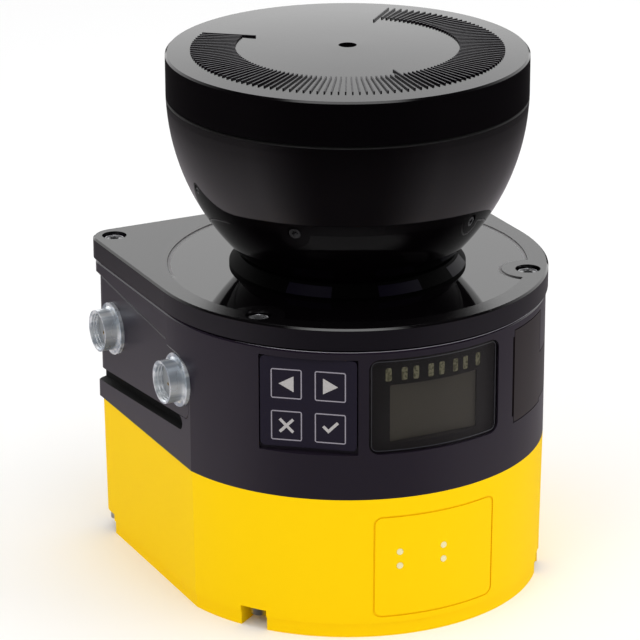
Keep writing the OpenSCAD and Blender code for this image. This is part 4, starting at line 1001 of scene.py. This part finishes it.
class SCANNER_OT_screw_rims(bpy.types.Operator):
    """Bright rims round the heads of the lid screws"""

    bl_idname = "scanner.screw_rims"
    bl_label = "Screw rims"

    def execute(self, context):
        s = sizes()
        wire, sunk = 0.18 * MM, 0.1 * MM
        spots = [p - UP * sunk for p in screw_places("lid_screws")]
        rim = finish("screw rim", (0.5, 0.5, 0.52), 0.15, grain=1500, Metallic=1.0)
        grow("screw_rims", ring_tree(), spots,
             {"Radius": s.screw_rim, "Wire": wire, "Steps": s.round_steps, "Turn": (0.0, 0.0, 0.0)},
             rim, ROOT)
        return {"FINISHED"}


class SCANNER_OT_threads(bpy.types.Operator):
    """Threads inside the connectors' barrels and the polished lip at each mouth"""

    bl_idname = "scanner.threads"
    bl_label = "Connector threads"

    thread_r, thread_wire = 5.12 * MM, 0.16 * MM
    lip_r, lip_wire = 5.62 * MM, 0.22 * MM
    plain_mouth, start = 0.8 * MM, 0.6  # no thread near the mouth; the first turn, in pitches from the insert

    def execute(self, context):
        s = sizes()
        plating = finish("thread plate", colours().nickel, 0.2, grain=500, tone_change=0.2, Metallic=0.7)
        tree = ring_tree()
        quarter = (0.0, math.pi / 2, 0.0)
        for end in ("front", "rear"):
            shell, insert = "connector_shell_" + end, "connector_insert_" + end
            mouth, floor = low(shell).x, low(insert).x
            mid = (low(shell) + high(shell)) / 2
            count = int((floor - mouth - self.plain_mouth) / s.thread_pitch)
            spots = [Vector((floor - (k + self.start) * s.thread_pitch, mid.y, mid.z)) for k in range(count)]
            lip = [Vector((mouth + self.lip_wire, mid.y, mid.z))]
            for name, places, radius, wire in (("thread_", spots, self.thread_r, self.thread_wire),
                                               ("mouth_lip_", lip, self.lip_r, self.lip_wire)):
                grow(name + end, tree, places, {"Radius": radius, "Wire": wire, "Steps": s.round_steps,
                                                "Turn": quarter}, plating, ROOT)
        return {"FINISHED"}


class SCANNER_OT_board_parts(bpy.types.Operator):
    """Small soldered parts on the main and the interface board"""

    bl_idname = "scanner.board_parts"
    bl_label = "Board parts"

    def execute(self, context):
        body_tone = finish("ceramic part", (0.10, 0.07, 0.045), 0.4, grain=900, tone_change=0.4)
        tree = small_parts_tree()
        part = Vector((2.0, 1.2, 0.8)) * MM
        pitch, sunk, first_seed = 3.6 * MM, 0.02 * MM, 5
        # from and to along x, then along y
        areas = {"main_board": ((-0.002, 0.024), (-0.004, 0.016)),
                 "interface_board": ((-0.004, 0.020), (0.006, 0.018))}
        for seed, (board, (span_x, span_y)) in enumerate(areas.items(), first_seed):
            top = low(board).z + BOARD_T + part.z / 2 - sunk
            spots = [Vector((span_x[0] + i * pitch, span_y[0] + j * pitch, top))
                     for i in range(int((span_x[1] - span_x[0]) / pitch))
                     for j in range(int((span_y[1] - span_y[0]) / pitch))]
            grow(board + "_parts", tree, spots, {"Size": tuple(part), "Seed": seed, "Share": 0.7}, body_tone, ROOT)
        return {"FINISHED"}


class SCANNER_PT_panel(bpy.types.Panel):
    """Lists the pieces of the scanner"""

    bl_idname = "SCANNER_PT_panel"
    bl_label = "Safety Laser Scanner"
    bl_space_type = "VIEW_3D"
    bl_region_type = "UI"
    bl_category = "Scanner"

    def draw(self, context):
        """Lists the sizes, the colours and a button for each piece."""
        box = self.layout.box()
        for name in ScannerSizes.__annotations__:
            box.prop(sizes(), name)
        for name in ScannerColours.__annotations__:
            box.prop(colours(), name)
        for op in OPERATORS:
            self.layout.operator(op.bl_idname)


OPERATORS = (SCANNER_OT_stage, SCANNER_OT_shell_finishes, SCANNER_OT_front_finishes, SCANNER_OT_inner_finishes,
             SCANNER_OT_key_signs, SCANNER_OT_plug_edge, SCANNER_OT_light_edges, SCANNER_OT_screw_rims,
             SCANNER_OT_threads, SCANNER_OT_board_parts)
CLASSES = (ScannerColours, ScannerSizes, *OPERATORS, SCANNER_PT_panel)


def register():
    for cls in CLASSES:
        bpy.utils.register_class(cls)
    bpy.types.Scene.scanner_colours = PointerProperty(type=ScannerColours)
    bpy.types.Scene.scanner_sizes = PointerProperty(type=ScannerSizes)


def unregister():
    del bpy.types.Scene.scanner_sizes
    del bpy.types.Scene.scanner_colours
    for cls in reversed(CLASSES):
        bpy.utils.unregister_class(cls)


def main():
    register()
    for op in OPERATORS:
        call = getattr(bpy.ops.scanner, op.bl_idname.split(".")[1])
        if call() != {"FINISHED"}:
            raise RuntimeError(f"{op.bl_label} didn't finish")


if __name__ == "__main__":
    main()
